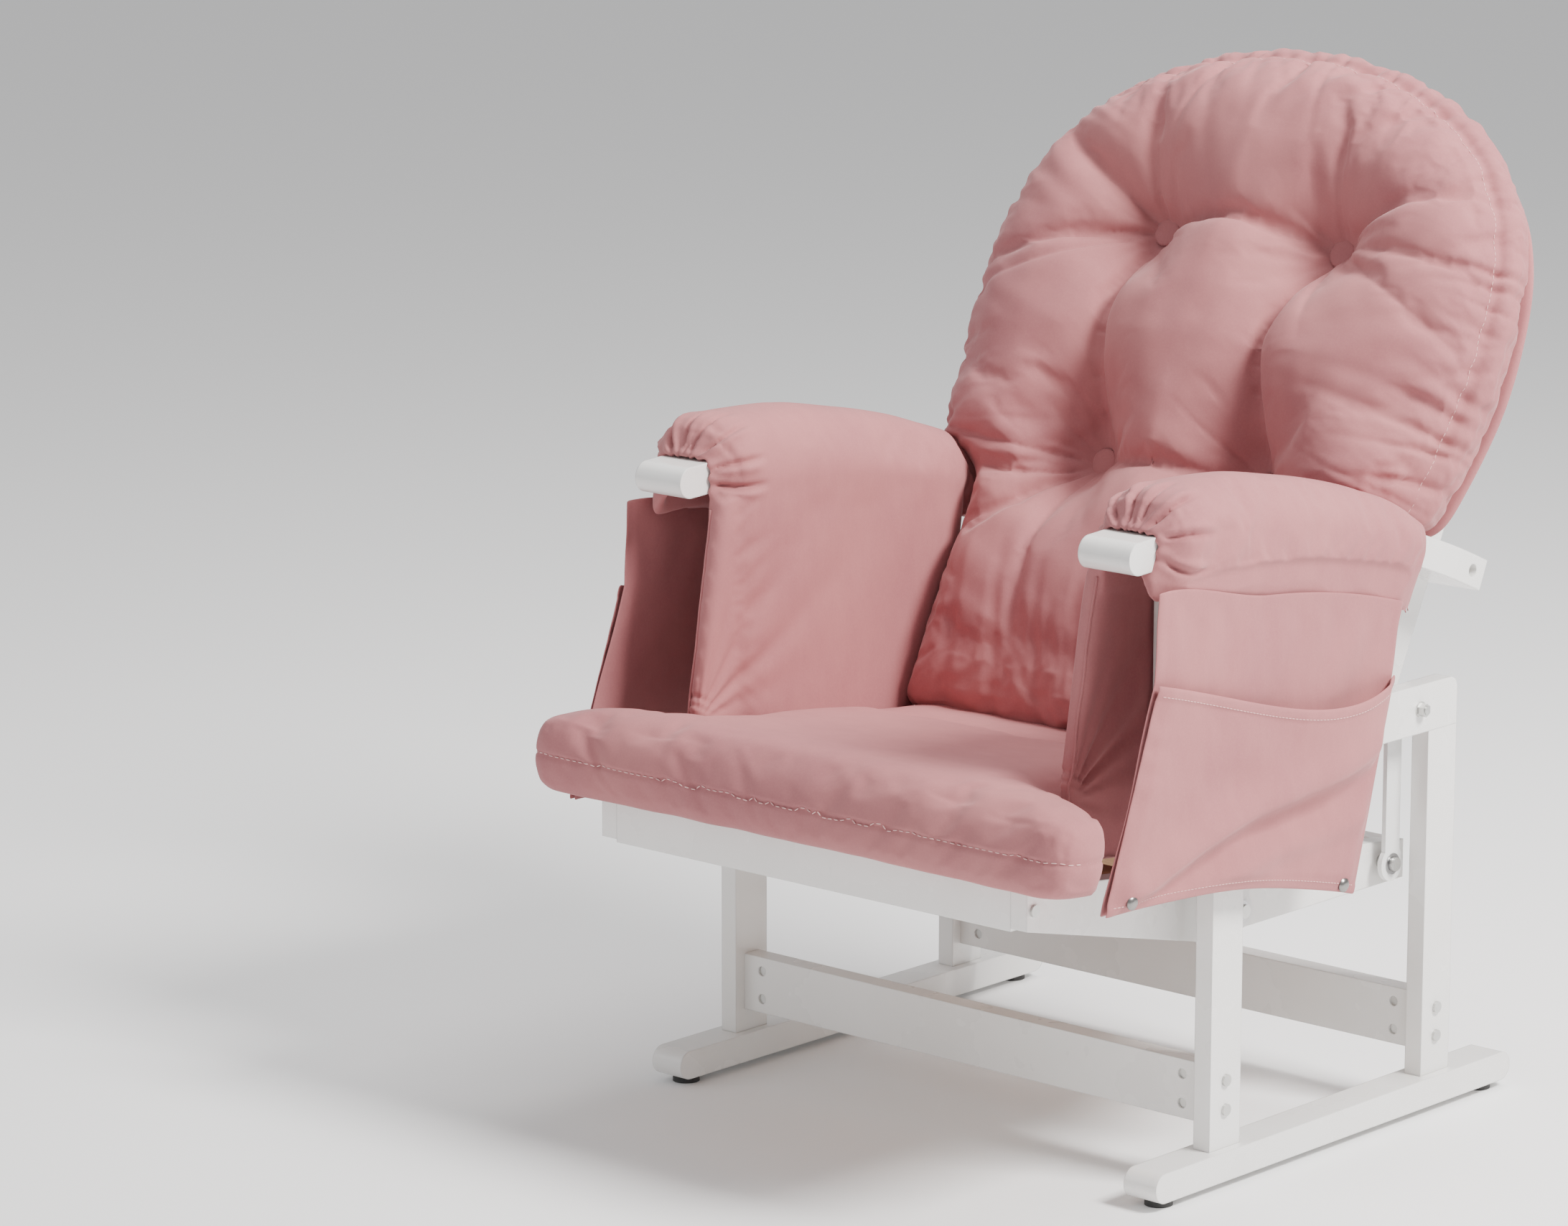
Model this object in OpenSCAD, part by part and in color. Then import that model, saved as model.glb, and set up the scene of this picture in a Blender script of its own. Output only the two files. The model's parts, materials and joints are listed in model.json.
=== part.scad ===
// Nursery glider chair: a cushioned seat that swings on four links inside a standing base.
// Millimetres, +Z up, front towards -Y, right-hand side (of someone looking at the chair) at +X.
// Origin: on the floor, below the middle of the chair's box.

/* [Arms] */
// Distance between the centre lines of the two arm boards
arm_spacing = 576; // [540:2:620]
// Width of an arm board
arm_w = 62; // [54:1:72]
// Thickness of an arm board
arm_t = 32; // [26:1:38]
// How far the round end of an arm stands in front of the chair's reference line
arm_reach = 317; // [300:1:340]
// Height of the arm's round end above the floor, at its middle
arm_height = 646; // [620:1:680]
// Radius of the arch that an arm follows
arm_arch_r = 1200; // [1150:10:1400]
// Angle at which the arm rises behind its round end
arm_rise = 3.5; // [2:0.5:5]
// Length of bare arm in front of its cover
arm_bare = 46; // [30:1:60]

/* [Seat] */
// Overall width of the seat cushion across its two front ears
seat_w = 700; // [660:2:740]
// How far the cushion's front edge stands in front of the reference line
seat_reach = 452; // [430:1:480]
// Height of the cushion's top at its front edge
seat_height = 418; // [400:1:440]
// Thickness of the seat cushion
seat_cushion_t = 75; // [60:1:90]
// Slope of the seat, down towards the back
seat_slope = 6; // [4:0.5:8]
// How far the notches beside the seat lie behind the ears' rear corners
ear_slant = 58; // [50:1:66]
// Room between the cushion's notches and the front of the inner arm pads
ear_gap = 18; // [10:1:26]
// How far the cushion reaches behind the reference line
seat_rear = 85; // [60:1:95]

/* [Back] */
// Recline of the back, from upright
recline = 26.4; // [22:0.2:30]
// Depth of the point that the back reclines about below the seat's front top edge
back_foot_drop = 18; // [8:1:28]
// Place of that point behind the reference line
back_foot_y = 54; // [44:1:64]
// Full width of the back cushion above the arms
back_w = 688; // [650:2:720]
// Length of the back cushion along the recline
back_len = 732; // [700:1:760]
// Height of its wide part above the arm boards, along the recline
shoulder_lift = 26; // [24:1:50]
// Cushion in front of the button plane
back_belly = 85; // [70:1:95]
// Cushion behind the button plane
back_rear = 66; // [55:1:75]
// Height of the lower and upper pair of buttons along the recline
button_s = [251, 507]; // [200:1:560]
// Distance of the lower and upper buttons from the middle
button_x = [107, 114]; // [80:1:150]
// Diameter of a covered button
button_d = 30; // [24:1:38]
// Thickness of the upholstered back board
board_t = 12; // [8:1:16]
// Distance from the cushion's side to the board's side
board_inset = 24; // [16:1:54]

/* [Soft covers] */
// Thickness of the arm cover's padding above the arm
cover_t = 38; // [30:1:44]
// Thickness of the cover's roll beside the arm
cover_side_t = 26; // [22:1:30]
// How far the roll hangs below the arm's middle line
cover_drop = 45; // [40:1:55]
// Rear end of the arm cover behind the reference line
cover_rear = 150; // [140:1:160]
// Thickness of the inner arm pad
inner_pad_t = 20; // [14:1:22]
// How far the foot of the inner pad stands in front of the arm's round end
pad_flare = 5; // [0:1:10]
// Rear edge of the inner pad behind the reference line, at the arm
pad_rear = 84; // [70:1:100]
// How far forward the inner pad's rear edge leans down to the seat
pad_lean = 94; // [80:1:110]
// Length of the outer panel's front edge, from the arm's middle line down
panel_front_len = 329; // [290:1:340]
// Length of its rear edge, from the height of the arm's round end down
panel_rear_len = 384; // [350:1:400]
// How far its front corner stands in front of the arm's round end
panel_flare = 66; // [50:1:70]
// Rear edge of the outer panel behind the reference line, at the arm
panel_rear = 87; // [70:1:100]
// How far forward the panel's rear edge leans down to its corner
panel_lean = 79; // [60:1:90]
// Depth of the pocket's mouth below the arm's round end, at the front
mouth_front_drop = 116; // [100:1:130]
// Depth of the pocket's mouth below the arm's round end, at the rear
mouth_rear_drop = 167; // [150:1:180]
// Sag of the pocket's mouth between its ends
mouth_sag = 22; // [10:1:30]
// Thickness of the cloth in the outer panel and its pocket
cloth_t = 3; // [2:0.5:4]
// Room in the pocket between the panel and the pocket's front
pocket_gap = 8; // [6:0.5:12]
// Room between a soft piece and its neighbour
soft_gap = 2; // [1:0.5:4]
// Diameter of a snap's cap
snap_d = 14; // [10:1:18]

/* [Frame] */
// Thickness of the seat frame's boards
board_w = 20; // [16:1:22]
// Depth of an arm post, front to back
post_d = 45; // [36:1:55]
// Front face of the arm post in front of the reference line
post_reach = 200; // [190:1:210]
// Depth of a back upright, square to the recline
upright_d = 38; // [32:1:46]
// Length of the back uprights along the recline
upright_len = 560; // [540:1:600]
// Height of the cross rails
rail_h = 42; // [36:1:46]
// Thickness of the cross rails
rail_t = 20; // [16:1:24]
// Depth of the side rails below the lower pivots
side_rail_below = 24; // [20:1:28]
// Number of slats under the seat cushion
slat_count = 5; // [4:1:6]
// Width of a slat
slat_w = 58; // [45:1:64]
// Thickness of a slat
slat_t = 12; // [9:1:15]
// Width and height of the cleats that carry the slats
cleat_h = 20; // [16:1:24]

/* [Glide] */
// Length of a link between its two pivots
link_length = 165; // [150:1:180]
// Depth of the lower pivots below the seat plane, at the rear pivots
pivot_depth = 20; // [18:1:30]
// Front pivots in front of the reference line
pivot_reach = 100; // [90:1:110]
// Distance between the front and the rear pivots
pivot_spacing = 250; // [240:1:254]
// Thickness of a link
link_t = 5; // [4:0.5:6]
// Width of a link between its eyes
link_w = 24; // [20:1:28]
// Diameter of a link's eyes
link_eye_d = 36; // [32:1:40]
// Diameter of the pivot bolts
bolt_d = 8; // [6:1:10]
// Outer diameter of a ball bearing
bearing_d = 22; // [20:1:24]
// Width of a ball bearing
bearing_w = 7; // [6:0.5:8]
// Room between the seat frame and the base, where the links swing
link_gap = 26; // [24:1:30]
// Radial play of a pivot bolt in its bearing
pivot_play = 0.08; // [0.05:0.01:0.1]
// Play between faces that slide past each other
face_play = 0.3; // [0.2:0.1:0.5]

/* [Base] */
// Thickness of the base's posts and top rails
base_t = 20; // [18:1:22]
// Depth of a base post, front to back
base_post_d = 48; // [40:1:56]
// Front face of the front posts in front of the front pivots
post_front_over = 85; // [70:1:95]
// Rear face of the rear posts behind the rear pivots
post_rear_over = 63; // [50:1:80]
// Height of a top rail
top_rail_h = 50; // [44:1:56]
// Length of a floor runner
runner_len = 590; // [560:2:640]
// Width of a floor runner
runner_w = 40; // [36:1:44]
// Height of a floor runner
runner_h = 30; // [24:1:36]
// Middle of the runners behind the reference line
runner_mid = 14; // [0:1:20]
// Height of a stretcher
stretcher_h = 60; // [50:1:70]
// Thickness of a stretcher
stretcher_t = 22; // [20:1:26]
// Lowest edge of the stretchers above the floor
stretcher_z = 62; // [56:1:90]
// Diameter of a floor glide
glide_d = 28; // [22:1:34]
// Height of a floor glide
glide_h = 8; // [5:1:10]

/* [Hidden] */
$fn = 48;

left = -1;
right = 1;
white_paint = "whitesmoke";
cloth_tone = "rosybrown";
steel_tone = "silver";
big = 2000;

// Planes across the chair, from the middle outwards
arm_x = arm_spacing / 2;
frame_x = arm_x - arm_w / 2;
frame_out_x = frame_x + board_w;
base_x = frame_out_x + link_gap;
base_out_x = base_x + base_t;
link_x = frame_out_x + link_gap / 2;
upright_x = frame_x - board_w;
pad_gap = 5;
pad_out_x = frame_x - pad_gap;
pad_x = pad_out_x - inner_pad_t;
panel_gap = 16;
panel_x = base_out_x + panel_gap;
pocket_x = panel_x + cloth_t + pocket_gap;

// Arch of the arms
arm_tip_y = -arm_reach + arm_t / 2;
arch_y = arm_tip_y + arm_arch_r * sin(arm_rise);
arch_z = arm_height - arm_arch_r * cos(arm_rise);
function arch_angle(y) = asin((y - arch_y) / arm_arch_r);
function arch_height(y, r) = arch_z + sqrt(r * r - (y - arch_y) * (y - arch_y));

// Seat plane, on which the cushion rests
seat_bottom_front = seat_height - seat_cushion_t * cos(seat_slope);
function seat_z(y) = seat_bottom_front - (y + seat_reach) * tan(seat_slope);

back_foot_z = seat_height - back_foot_drop;
// Place behind the reference line, and height, of a point s up the back and n in front of its plane
function back_y(s, n) = back_foot_y + s * sin(recline) - n * cos(recline);
function back_z(s, n) = back_foot_z + s * cos(recline) + n * sin(recline);
function back_s(z, n) = (z - back_foot_z - n * sin(recline)) / cos(recline);

board_n = -back_rear - soft_gap - board_t;
upright_n = board_n - upright_d;
upright_mid_n = (board_n + upright_n) / 2;
// Length along the recline at which the middle lines of an arm and its upright cross
function crossing_s(s, steps) = steps == 0
    ? s
    : crossing_s(back_s(arch_height(back_y(s, upright_mid_n), arm_arch_r), upright_mid_n), steps - 1);
arm_bolt_s = crossing_s(back_len / 3, 16);
back_neck = arm_bolt_s + shoulder_lift;
board_foot_s = 20;
rear_y = max(back_y(upright_len, upright_n), back_y(back_len - board_inset, board_n));
mid_y = (rear_y - seat_reach) / 2;

// Pivots
pivot_ys = [-pivot_reach, pivot_spacing - pivot_reach];
lower_pivot_z = round(seat_z(pivot_ys[1])) - pivot_depth;
upper_pivot_z = lower_pivot_z + link_length;
head_d = 1.75 * bolt_d;
head_h = 0.6 * bolt_d;
nut_h = 0.8 * bolt_d;
washer_d = 2 * bolt_d;
washer_h = 1.5;
spacer_d = 13 / 8 * bolt_d;
thread_play = 0.1;
hole_play = 0.25;

// Seat frame
side_rail_over = 40;
side_rail_front = -seat_reach + side_rail_over;
side_rail_rear = pivot_ys[1] + side_rail_over;
side_rail_z = lower_pivot_z - side_rail_below;
side_rail_nose_h = 41;
side_rail_knee_y = pivot_ys[0] - 50;
slat_gap = 6;
slat_first_y = side_rail_front + rail_t + slat_w / 2 + slat_gap;
slat_last_y = seat_rear - 45;
slat_pitch = (slat_last_y - slat_first_y) / (slat_count - 1);
cleat_rear = slat_last_y + slat_w / 2;
post_y = -post_reach + post_d / 2;

// Seat cushion, narrow between the arm pads and with two ears in front of them
seat_body_w = pad_x - soft_gap;
ear_notch = seat_reach - arm_reach - pad_flare - ear_gap;
ear_back = ear_notch - ear_slant;

// Arm cover
cover_front = -arm_reach + arm_bare;
cover_low_r = arm_arch_r - cover_drop;
cover_top_r = arm_arch_r + arm_t / 2 + cover_t;
cover_out_x = arm_x + arm_w / 2 + soft_gap + cover_side_t;
cloth_play = 0.5;

// Outer panel and pocket, as (y, z)
panel_front_foot = [-arm_reach - panel_flare, arm_height - panel_front_len];
panel_rear_foot = [panel_rear - panel_lean, arm_height - panel_rear_len];
panel_arch = 14;
mouth_front = [-arm_reach + 9, arm_height - mouth_front_drop];
mouth_rear = [panel_rear - 18, arm_height - mouth_rear_drop];
pocket_over = 120;
snap_ps = [panel_front_foot + [27, 14], panel_rear_foot + [-22, 18]];

// Base
top_rail_z = upper_pivot_z - top_rail_h / 2;
runner_z = glide_h + runner_h;
base_post_front = pivot_ys[0] - post_front_over;
base_post_rear = pivot_ys[1] + post_rear_over;
base_post_ys = [base_post_front + base_post_d / 2, base_post_rear - base_post_d / 2];
runner_y = runner_mid - runner_len / 2;
glide_inset = 30;
stretcher_bolt_d = 6;
stretcher_bolt_len = 52;
stretcher_bolt_zs = [stretcher_z + stretcher_h / 4, stretcher_z + stretcher_h * 3 / 4];
barrel_d = 10;
barrel_x = base_out_x - stretcher_bolt_len + barrel_d / 2 + 2;
barrel_set = 2;

// Bolts of the seat frame
frame_bolt_d = 6;
frame_head_d = 12;
frame_head_h = 3;
rail_bolt_reach = 40;
rail_bolt_ps = [
    [side_rail_front + rail_t / 2, seat_z(side_rail_front) - rail_h / 2 - 1],
    [side_rail_rear - rail_t / 2, side_rail_z + rail_h / 2]
];
post_bolt_len = 74;
post_bolt_sink = 6;
post_bolt_top = arch_height(post_y, arm_arch_r + arm_t / 2) - post_bolt_sink;
upright_bolt_ss = [back_s(lower_pivot_z - 8, upright_mid_n), back_s(lower_pivot_z + 14, upright_mid_n)];
upright_foot_s = back_s(side_rail_z, upright_n) + 2;
upright_over = 10;
low_rail_s = 40;

// ---- shared shapes ----

// Moves the chair from its reference line to its origin
module centred() {
    translate([0, -mid_y, 0]) children();
}

module on_side(side) {
    if (side > 0) children();
    else mirror([1, 0, 0]) children();
}

// Extrudes an outline drawn as (y, z) from x0 to x1
module across(x0, x1) {
    translate([x0, 0, 0]) rotate([90, 0, 90]) linear_extrude(x1 - x0) children();
}

// A round bar along X
module pin(d, x0, x1) {
    translate([x0, 0, 0]) rotate([0, 90, 0]) cylinder(d = d, h = x1 - x0);
}

module box(x0, x1, y0, y1, z0, z1) {
    translate([x0, y0, z0]) cube([x1 - x0, y1 - y0, z1 - z0]);
}

// Sweeps a section drawn as (radius, x) along the arch, from y0 to y1
module along_arch(y0, y1) {
    a0 = arch_angle(y0);
    a1 = arch_angle(y1);
    translate([0, arch_y, arch_z]) rotate([-a0, 0, 0]) mirror([1, 0, 0]) rotate([0, -90, 0])
        rotate_extrude(angle = a1 - a0, $fn = 720) children();
}

// Stands a shape on the back's plane: local Z runs up the recline and -Y points forward
module reclined() {
    translate([0, back_foot_y, back_foot_z]) rotate([-recline, 0, 0]) children();
}

// Extrudes an outline drawn as (x, s) from n0 to n1 in front of the back's plane
module back_slab(n0, n1) {
    reclined() translate([0, -n0, 0]) rotate([90, 0, 0]) linear_extrude(n1 - n0) children();
}

// Everything under the seat cushion's top, raised by the given gap
module below_seat_top(gap) {
    across(-big, big) polygon([
        [-big, seat_z(-big) + (seat_cushion_t / cos(seat_slope)) + gap],
        [big, seat_z(big) + (seat_cushion_t / cos(seat_slope)) + gap],
        [big, -big],
        [-big, -big]
    ]);
}

// ---- base ----

module base_runner(side) {
    r = runner_h / 2;
    color(white_paint) centred() on_side(side) difference() {
        across(base_x + base_t / 2 - runner_w / 2, base_x + base_t / 2 + runner_w / 2) union() {
            translate([runner_y + r, glide_h]) square([runner_len - 2 * r, runner_h]);
            for (y = [runner_y + r, runner_y + runner_len - r])
                translate([y, glide_h + r]) circle(r);
        }
        for (y = [runner_y + glide_inset, runner_y + runner_len - glide_inset])
            translate([base_x + base_t / 2, y, glide_h - 1]) cylinder(d = bolt_d, h = runner_h / 2);
    }
}

module base_post(side, y) {
    color(white_paint) centred() on_side(side) difference() {
        box(base_x, base_out_x, y - base_post_d / 2, y + base_post_d / 2, runner_z, top_rail_z);
        for (z = stretcher_bolt_zs)
            translate([0, y, z]) pin(stretcher_bolt_d + 2 * hole_play, base_x - 1, base_out_x + 1);
    }
}

module base_top_rail(side) {
    r = 12;
    y0 = base_post_front;
    y1 = base_post_rear;
    color(white_paint) centred() on_side(side) difference() {
        across(base_x, base_out_x) union() {
            translate([y0, top_rail_z]) square([y1 - y0, top_rail_h - r]);
            translate([y0 + r, top_rail_z]) square([y1 - y0 - 2 * r, top_rail_h]);
            for (y = [y0 + r, y1 - r])
                translate([y, top_rail_z + top_rail_h - r]) circle(r);
        }
        for (y = pivot_ys)
            translate([0, y, upper_pivot_z]) pin(bolt_d + 2 * hole_play, base_x - 1, base_out_x + 1);
    }
}

module base_stretcher(y) {
    color(white_paint) centred() difference() {
        box(-base_x, base_x, y - stretcher_t / 2, y + stretcher_t / 2,
            stretcher_z, stretcher_z + stretcher_h);
        for (side = [left, right], z = stretcher_bolt_zs)
            on_side(side) translate([0, y, z]) {
                pin(stretcher_bolt_d + 2 * hole_play, base_out_x - stretcher_bolt_len - 3, base_x + 1);
                translate([barrel_x, -stretcher_t / 2 - 1, 0]) rotate([-90, 0, 0])
                    cylinder(d = barrel_d + 2 * thread_play, h = stretcher_t + 2);
            }
    }
}

module floor_glides() {
    color("dimgray") centred()
        for (side = [left, right], y = [runner_y + glide_inset, runner_y + runner_len - glide_inset])
            on_side(side) translate([base_x + base_t / 2, y, 0]) {
                cylinder(d = glide_d, h = glide_h);
                cylinder(d = bolt_d, h = glide_h - 1 + runner_h / 2);
            }
}

module stretcher_bolts() {
    color(steel_tone) centred()
        for (side = [left, right], y = base_post_ys, z = stretcher_bolt_zs)
            on_side(side) translate([0, y, z]) {
                pin(stretcher_bolt_d, base_out_x - stretcher_bolt_len, base_out_x);
                pin(2 * stretcher_bolt_d, base_out_x, base_out_x + frame_head_h);
            }
}

module stretcher_barrel_nuts() {
    color(steel_tone) centred()
        for (side = [left, right], y = base_post_ys, z = stretcher_bolt_zs)
            on_side(side) translate([0, y, z]) difference() {
                translate([barrel_x, barrel_set - stretcher_t / 2, 0]) rotate([-90, 0, 0])
                    cylinder(d = barrel_d, h = stretcher_t - 2 * barrel_set);
                pin(stretcher_bolt_d + 2 * thread_play, barrel_x - barrel_d, barrel_x + barrel_d);
            }
}

// ---- pivots and links ----

// Runs its children at each of the four pivots of one height
module at_pivots(z) {
    for (side = [left, right], y = pivot_ys)
        on_side(side) translate([0, y, z]) children();
}

bearing_in_x = link_x - bearing_w / 2;
bearing_out_x = link_x + bearing_w / 2;

module upper_pivot_bolts() {
    color(steel_tone) centred() at_pivots(upper_pivot_z) {
        pin(head_d, bearing_in_x - face_play - head_h, bearing_in_x - face_play);
        pin(bolt_d, bearing_in_x - face_play, base_out_x + washer_h + nut_h + 1);
    }
}

module upper_pivot_nuts() {
    color(steel_tone) centred() at_pivots(upper_pivot_z) difference() {
        union() {
            pin(washer_d, base_out_x, base_out_x + washer_h);
            pin(head_d, base_out_x + washer_h, base_out_x + washer_h + nut_h, $fn = 6);
        }
        pin(bolt_d + 2 * thread_play, base_out_x - 1, base_out_x + washer_h + nut_h + 1);
    }
}

module upper_pivot_spacers() {
    color(steel_tone) centred() at_pivots(upper_pivot_z) difference() {
        pin(spacer_d, bearing_out_x + face_play, base_x);
        pin(bolt_d + 2 * hole_play, bearing_out_x, base_x + 1);
    }
}

module lower_pivot_bolts() {
    color(steel_tone) centred() at_pivots(lower_pivot_z) {
        pin(head_d, bearing_out_x + face_play, bearing_out_x + face_play + head_h);
        pin(bolt_d, frame_x - washer_h - nut_h - 1, bearing_out_x + face_play);
    }
}

module lower_pivot_nuts() {
    color(steel_tone) centred() at_pivots(lower_pivot_z) difference() {
        union() {
            pin(washer_d, frame_x - washer_h, frame_x);
            pin(head_d, frame_x - washer_h - nut_h, frame_x - washer_h, $fn = 6);
        }
        pin(bolt_d + 2 * thread_play, frame_x - washer_h - nut_h - 1, frame_x + 1);
    }
}

module lower_pivot_spacers() {
    color(steel_tone) centred() at_pivots(lower_pivot_z) difference() {
        pin(spacer_d, frame_out_x, bearing_in_x - face_play);
        pin(bolt_d + 2 * hole_play, frame_out_x - 1, bearing_in_x);
    }
}

module swing_link(side, y) {
    color(steel_tone) centred() on_side(side) across(link_x - link_t / 2, link_x + link_t / 2) difference() {
        union() {
            for (z = [lower_pivot_z, upper_pivot_z])
                translate([y, z]) circle(d = link_eye_d);
            translate([y - link_w / 2, lower_pivot_z]) square([link_w, link_length]);
        }
        for (z = [lower_pivot_z, upper_pivot_z])
            translate([y, z]) circle(d = bearing_d);
    }
}

// The two ball bearings of one link, each with its shields set back a little
module link_bearings(side, y) {
    shield_set = 0.6;
    ring_t = 2.5;
    color("gray") centred() on_side(side)
        for (z = [lower_pivot_z, upper_pivot_z]) translate([0, y, z]) difference() {
            pin(bearing_d, bearing_in_x, bearing_out_x);
            pin(bolt_d + 2 * pivot_play, bearing_in_x - 1, bearing_out_x + 1);
            for (x = [bearing_in_x - 1, bearing_out_x - shield_set]) difference() {
                pin(bearing_d - 2 * ring_t, x, x + 1 + shield_set);
                pin(bolt_d + 2 * ring_t, x - 1, x + 2 + shield_set);
            }
        }
}

// ---- seat frame ----

module seat_side_rail(side) {
    color(white_paint) centred() on_side(side) difference() {
        across(frame_x, frame_out_x) polygon([
            [side_rail_front, seat_z(side_rail_front)],
            [side_rail_rear, seat_z(side_rail_rear)],
            [side_rail_rear, side_rail_z],
            [side_rail_knee_y, side_rail_z],
            [side_rail_front, seat_z(side_rail_front) - side_rail_nose_h]
        ]);
        for (y = pivot_ys)
            translate([0, y, lower_pivot_z]) pin(bolt_d + 2 * hole_play, frame_x - 1, frame_out_x + 1);
        rail_bolts(frame_bolt_d + 2 * hole_play);
        upright_bolts(frame_bolt_d + 2 * hole_play);
    }
}

// Shanks that hold the cross rails to the right-hand side rail
module rail_bolts(d) {
    for (p = rail_bolt_ps)
        translate([0, p.x, p.y]) pin(d, frame_x - rail_bolt_reach, frame_out_x);
}

// Runs its children on the middle line of the uprights, s along the recline
module at_upright(s) {
    translate([0, back_y(s, upright_mid_n), back_z(s, upright_mid_n)]) children();
}

// Shanks that hold the right-hand back upright to its side rail
module upright_bolts(d) {
    for (s = upright_bolt_ss)
        at_upright(s) pin(d, upright_x, frame_out_x);
}

// Shank that holds the right-hand arm to its back upright
module arm_bolt(d) {
    at_upright(arm_bolt_s) pin(d, upright_x + 2, arm_x + arm_w / 4);
}

// Shank that holds the right-hand arm down on its post
module post_bolt(d) {
    translate([frame_x + board_w / 2, post_y, post_bolt_top - post_bolt_len])
        cylinder(d = d, h = post_bolt_len);
}

module seat_front_rail() {
    y = side_rail_front;
    color(white_paint) centred() difference() {
        box(-frame_x, frame_x, y, y + rail_t, seat_z(y + rail_t) - rail_h, seat_z(y + rail_t));
        for (side = [left, right]) on_side(side) rail_bolts(frame_bolt_d + 2 * hole_play);
    }
}

module seat_rear_rail() {
    y = side_rail_rear;
    color(white_paint) centred() difference() {
        box(-frame_x, frame_x, y - rail_t, y, side_rail_z, side_rail_z + rail_h - 2);
        for (side = [left, right]) on_side(side) rail_bolts(frame_bolt_d + 2 * hole_play);
    }
}

module seat_cleat(side) {
    y0 = side_rail_front + rail_t;
    color(white_paint) centred() on_side(side) across(frame_x - cleat_h, frame_x) polygon([
        [y0, seat_z(y0) - slat_t],
        [cleat_rear, seat_z(cleat_rear) - slat_t],
        [cleat_rear, seat_z(cleat_rear) - slat_t - cleat_h],
        [y0, seat_z(y0) - slat_t - cleat_h]
    ]);
}

module seat_slat(i) {
    y = slat_first_y + i * slat_pitch;
    x = frame_x - soft_gap;
    color("burlywood") centred() across(-x, x) polygon([
        [y - slat_w / 2, seat_z(y - slat_w / 2)],
        [y + slat_w / 2, seat_z(y + slat_w / 2)],
        [y + slat_w / 2, seat_z(y + slat_w / 2) - slat_t],
        [y - slat_w / 2, seat_z(y - slat_w / 2) - slat_t]
    ]);
}

module arm_post(side) {
    y0 = -post_reach;
    color(white_paint) centred() on_side(side) difference() {
        across(frame_x, frame_out_x) intersection() {
            polygon([
                [y0, seat_z(y0)],
                [y0 + post_d, seat_z(y0 + post_d)],
                [y0 + post_d, arm_height + arm_t],
                [y0, arm_height + arm_t]
            ]);
            translate([arch_y, arch_z]) circle(r = arm_arch_r - arm_t / 2, $fn = 720);
        }
        post_bolt(frame_bolt_d + 2 * hole_play);
    }
}

// Side outline of an arm board, drawn as (y, z): a strip of the arch with a round front end
module arm_outline() {
    a0 = arch_angle(arm_tip_y);
    a1 = arch_angle(back_y(arm_bolt_s, upright_n) + 2);
    union() {
        intersection() {
            translate([arch_y, arch_z]) difference() {
                circle(r = arm_arch_r + arm_t / 2, $fn = 720);
                circle(r = arm_arch_r - arm_t / 2, $fn = 720);
            }
            polygon([
                [arch_y, arch_z],
                [arch_y + big * sin(a0), arch_z + big * cos(a0)],
                [arch_y + big * sin(a1), arch_z + big * cos(a1)]
            ]);
        }
        translate([arm_tip_y, arm_height]) circle(d = arm_t);
    }
}

module arm(side) {
    color(white_paint) centred() on_side(side) difference() {
        across(arm_x - arm_w / 2, arm_x + arm_w / 2) arm_outline();
        arm_bolt(frame_bolt_d + 2 * hole_play);
        post_bolt(frame_bolt_d + 2 * hole_play);
        at_upright(arm_bolt_s) pin(frame_head_d + 1, arm_x + arm_w / 4, arm_x + arm_w);
        translate([frame_x + board_w / 2, post_y, post_bolt_top])
            cylinder(d = frame_head_d + 1, h = 2 * post_bolt_sink);
    }
}

module back_upright(side) {
    color(white_paint) centred() on_side(side) difference() {
        reclined() translate([upright_x, -board_n, upright_foot_s])
            cube([board_w, upright_d, upright_len - upright_foot_s]);
        upright_bolts(frame_bolt_d + 2 * hole_play);
        arm_bolt(frame_bolt_d + 2 * hole_play);
    }
}

module back_rail(s) {
    reclined() translate([-upright_x, -board_n, s]) cube([2 * upright_x, rail_t, rail_h]);
}

module back_rail_top() {
    color(white_paint) centred() back_rail(upright_len - rail_h - upright_over);
}

module back_rail_bottom() {
    color(white_paint) centred() back_rail(low_rail_s);
}

// Bolts and screws of the seat frame
module frame_bolts() {
    color(steel_tone) centred() for (side = [left, right]) on_side(side) {
        rail_bolts(frame_bolt_d);
        upright_bolts(frame_bolt_d);
        arm_bolt(frame_bolt_d);
        post_bolt(frame_bolt_d);
        for (p = rail_bolt_ps)
            translate([0, p.x, p.y]) pin(frame_head_d, frame_out_x, frame_out_x + frame_head_h);
        for (s = upright_bolt_ss)
            at_upright(s) pin(frame_head_d, frame_out_x, frame_out_x + frame_head_h);
        at_upright(arm_bolt_s) pin(frame_head_d, arm_x + arm_w / 4, arm_x + arm_w / 4 + frame_head_h);
        translate([frame_x + board_w / 2, post_y, post_bolt_top])
            cylinder(d = frame_head_d, h = frame_head_h);
    }
}

// ---- upholstery ----

// Outline of the back, drawn as (x, s): a narrow part between the arms and wide shoulders above
module back_outline(half_w, neck_w, s0, s1) {
    corner_r = 40;
    shoulder_r = 0.42 * half_w;
    crown = 0.18 * half_w;
    union() {
        translate([-neck_w, s0]) square([2 * neck_w, back_neck + shoulder_r - s0]);
        hull() {
            for (i = [-1, 1]) {
                translate([i * (half_w - corner_r), back_neck + corner_r]) circle(corner_r);
                translate([i * (half_w - shoulder_r), s1 - crown - shoulder_r]) circle(shoulder_r);
            }
            intersection() {
                translate([0, s1 - half_w]) circle(half_w, $fn = 96);
                translate([-half_w, back_neck + corner_r]) square([2 * half_w, s1]);
            }
        }
    }
}

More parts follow.
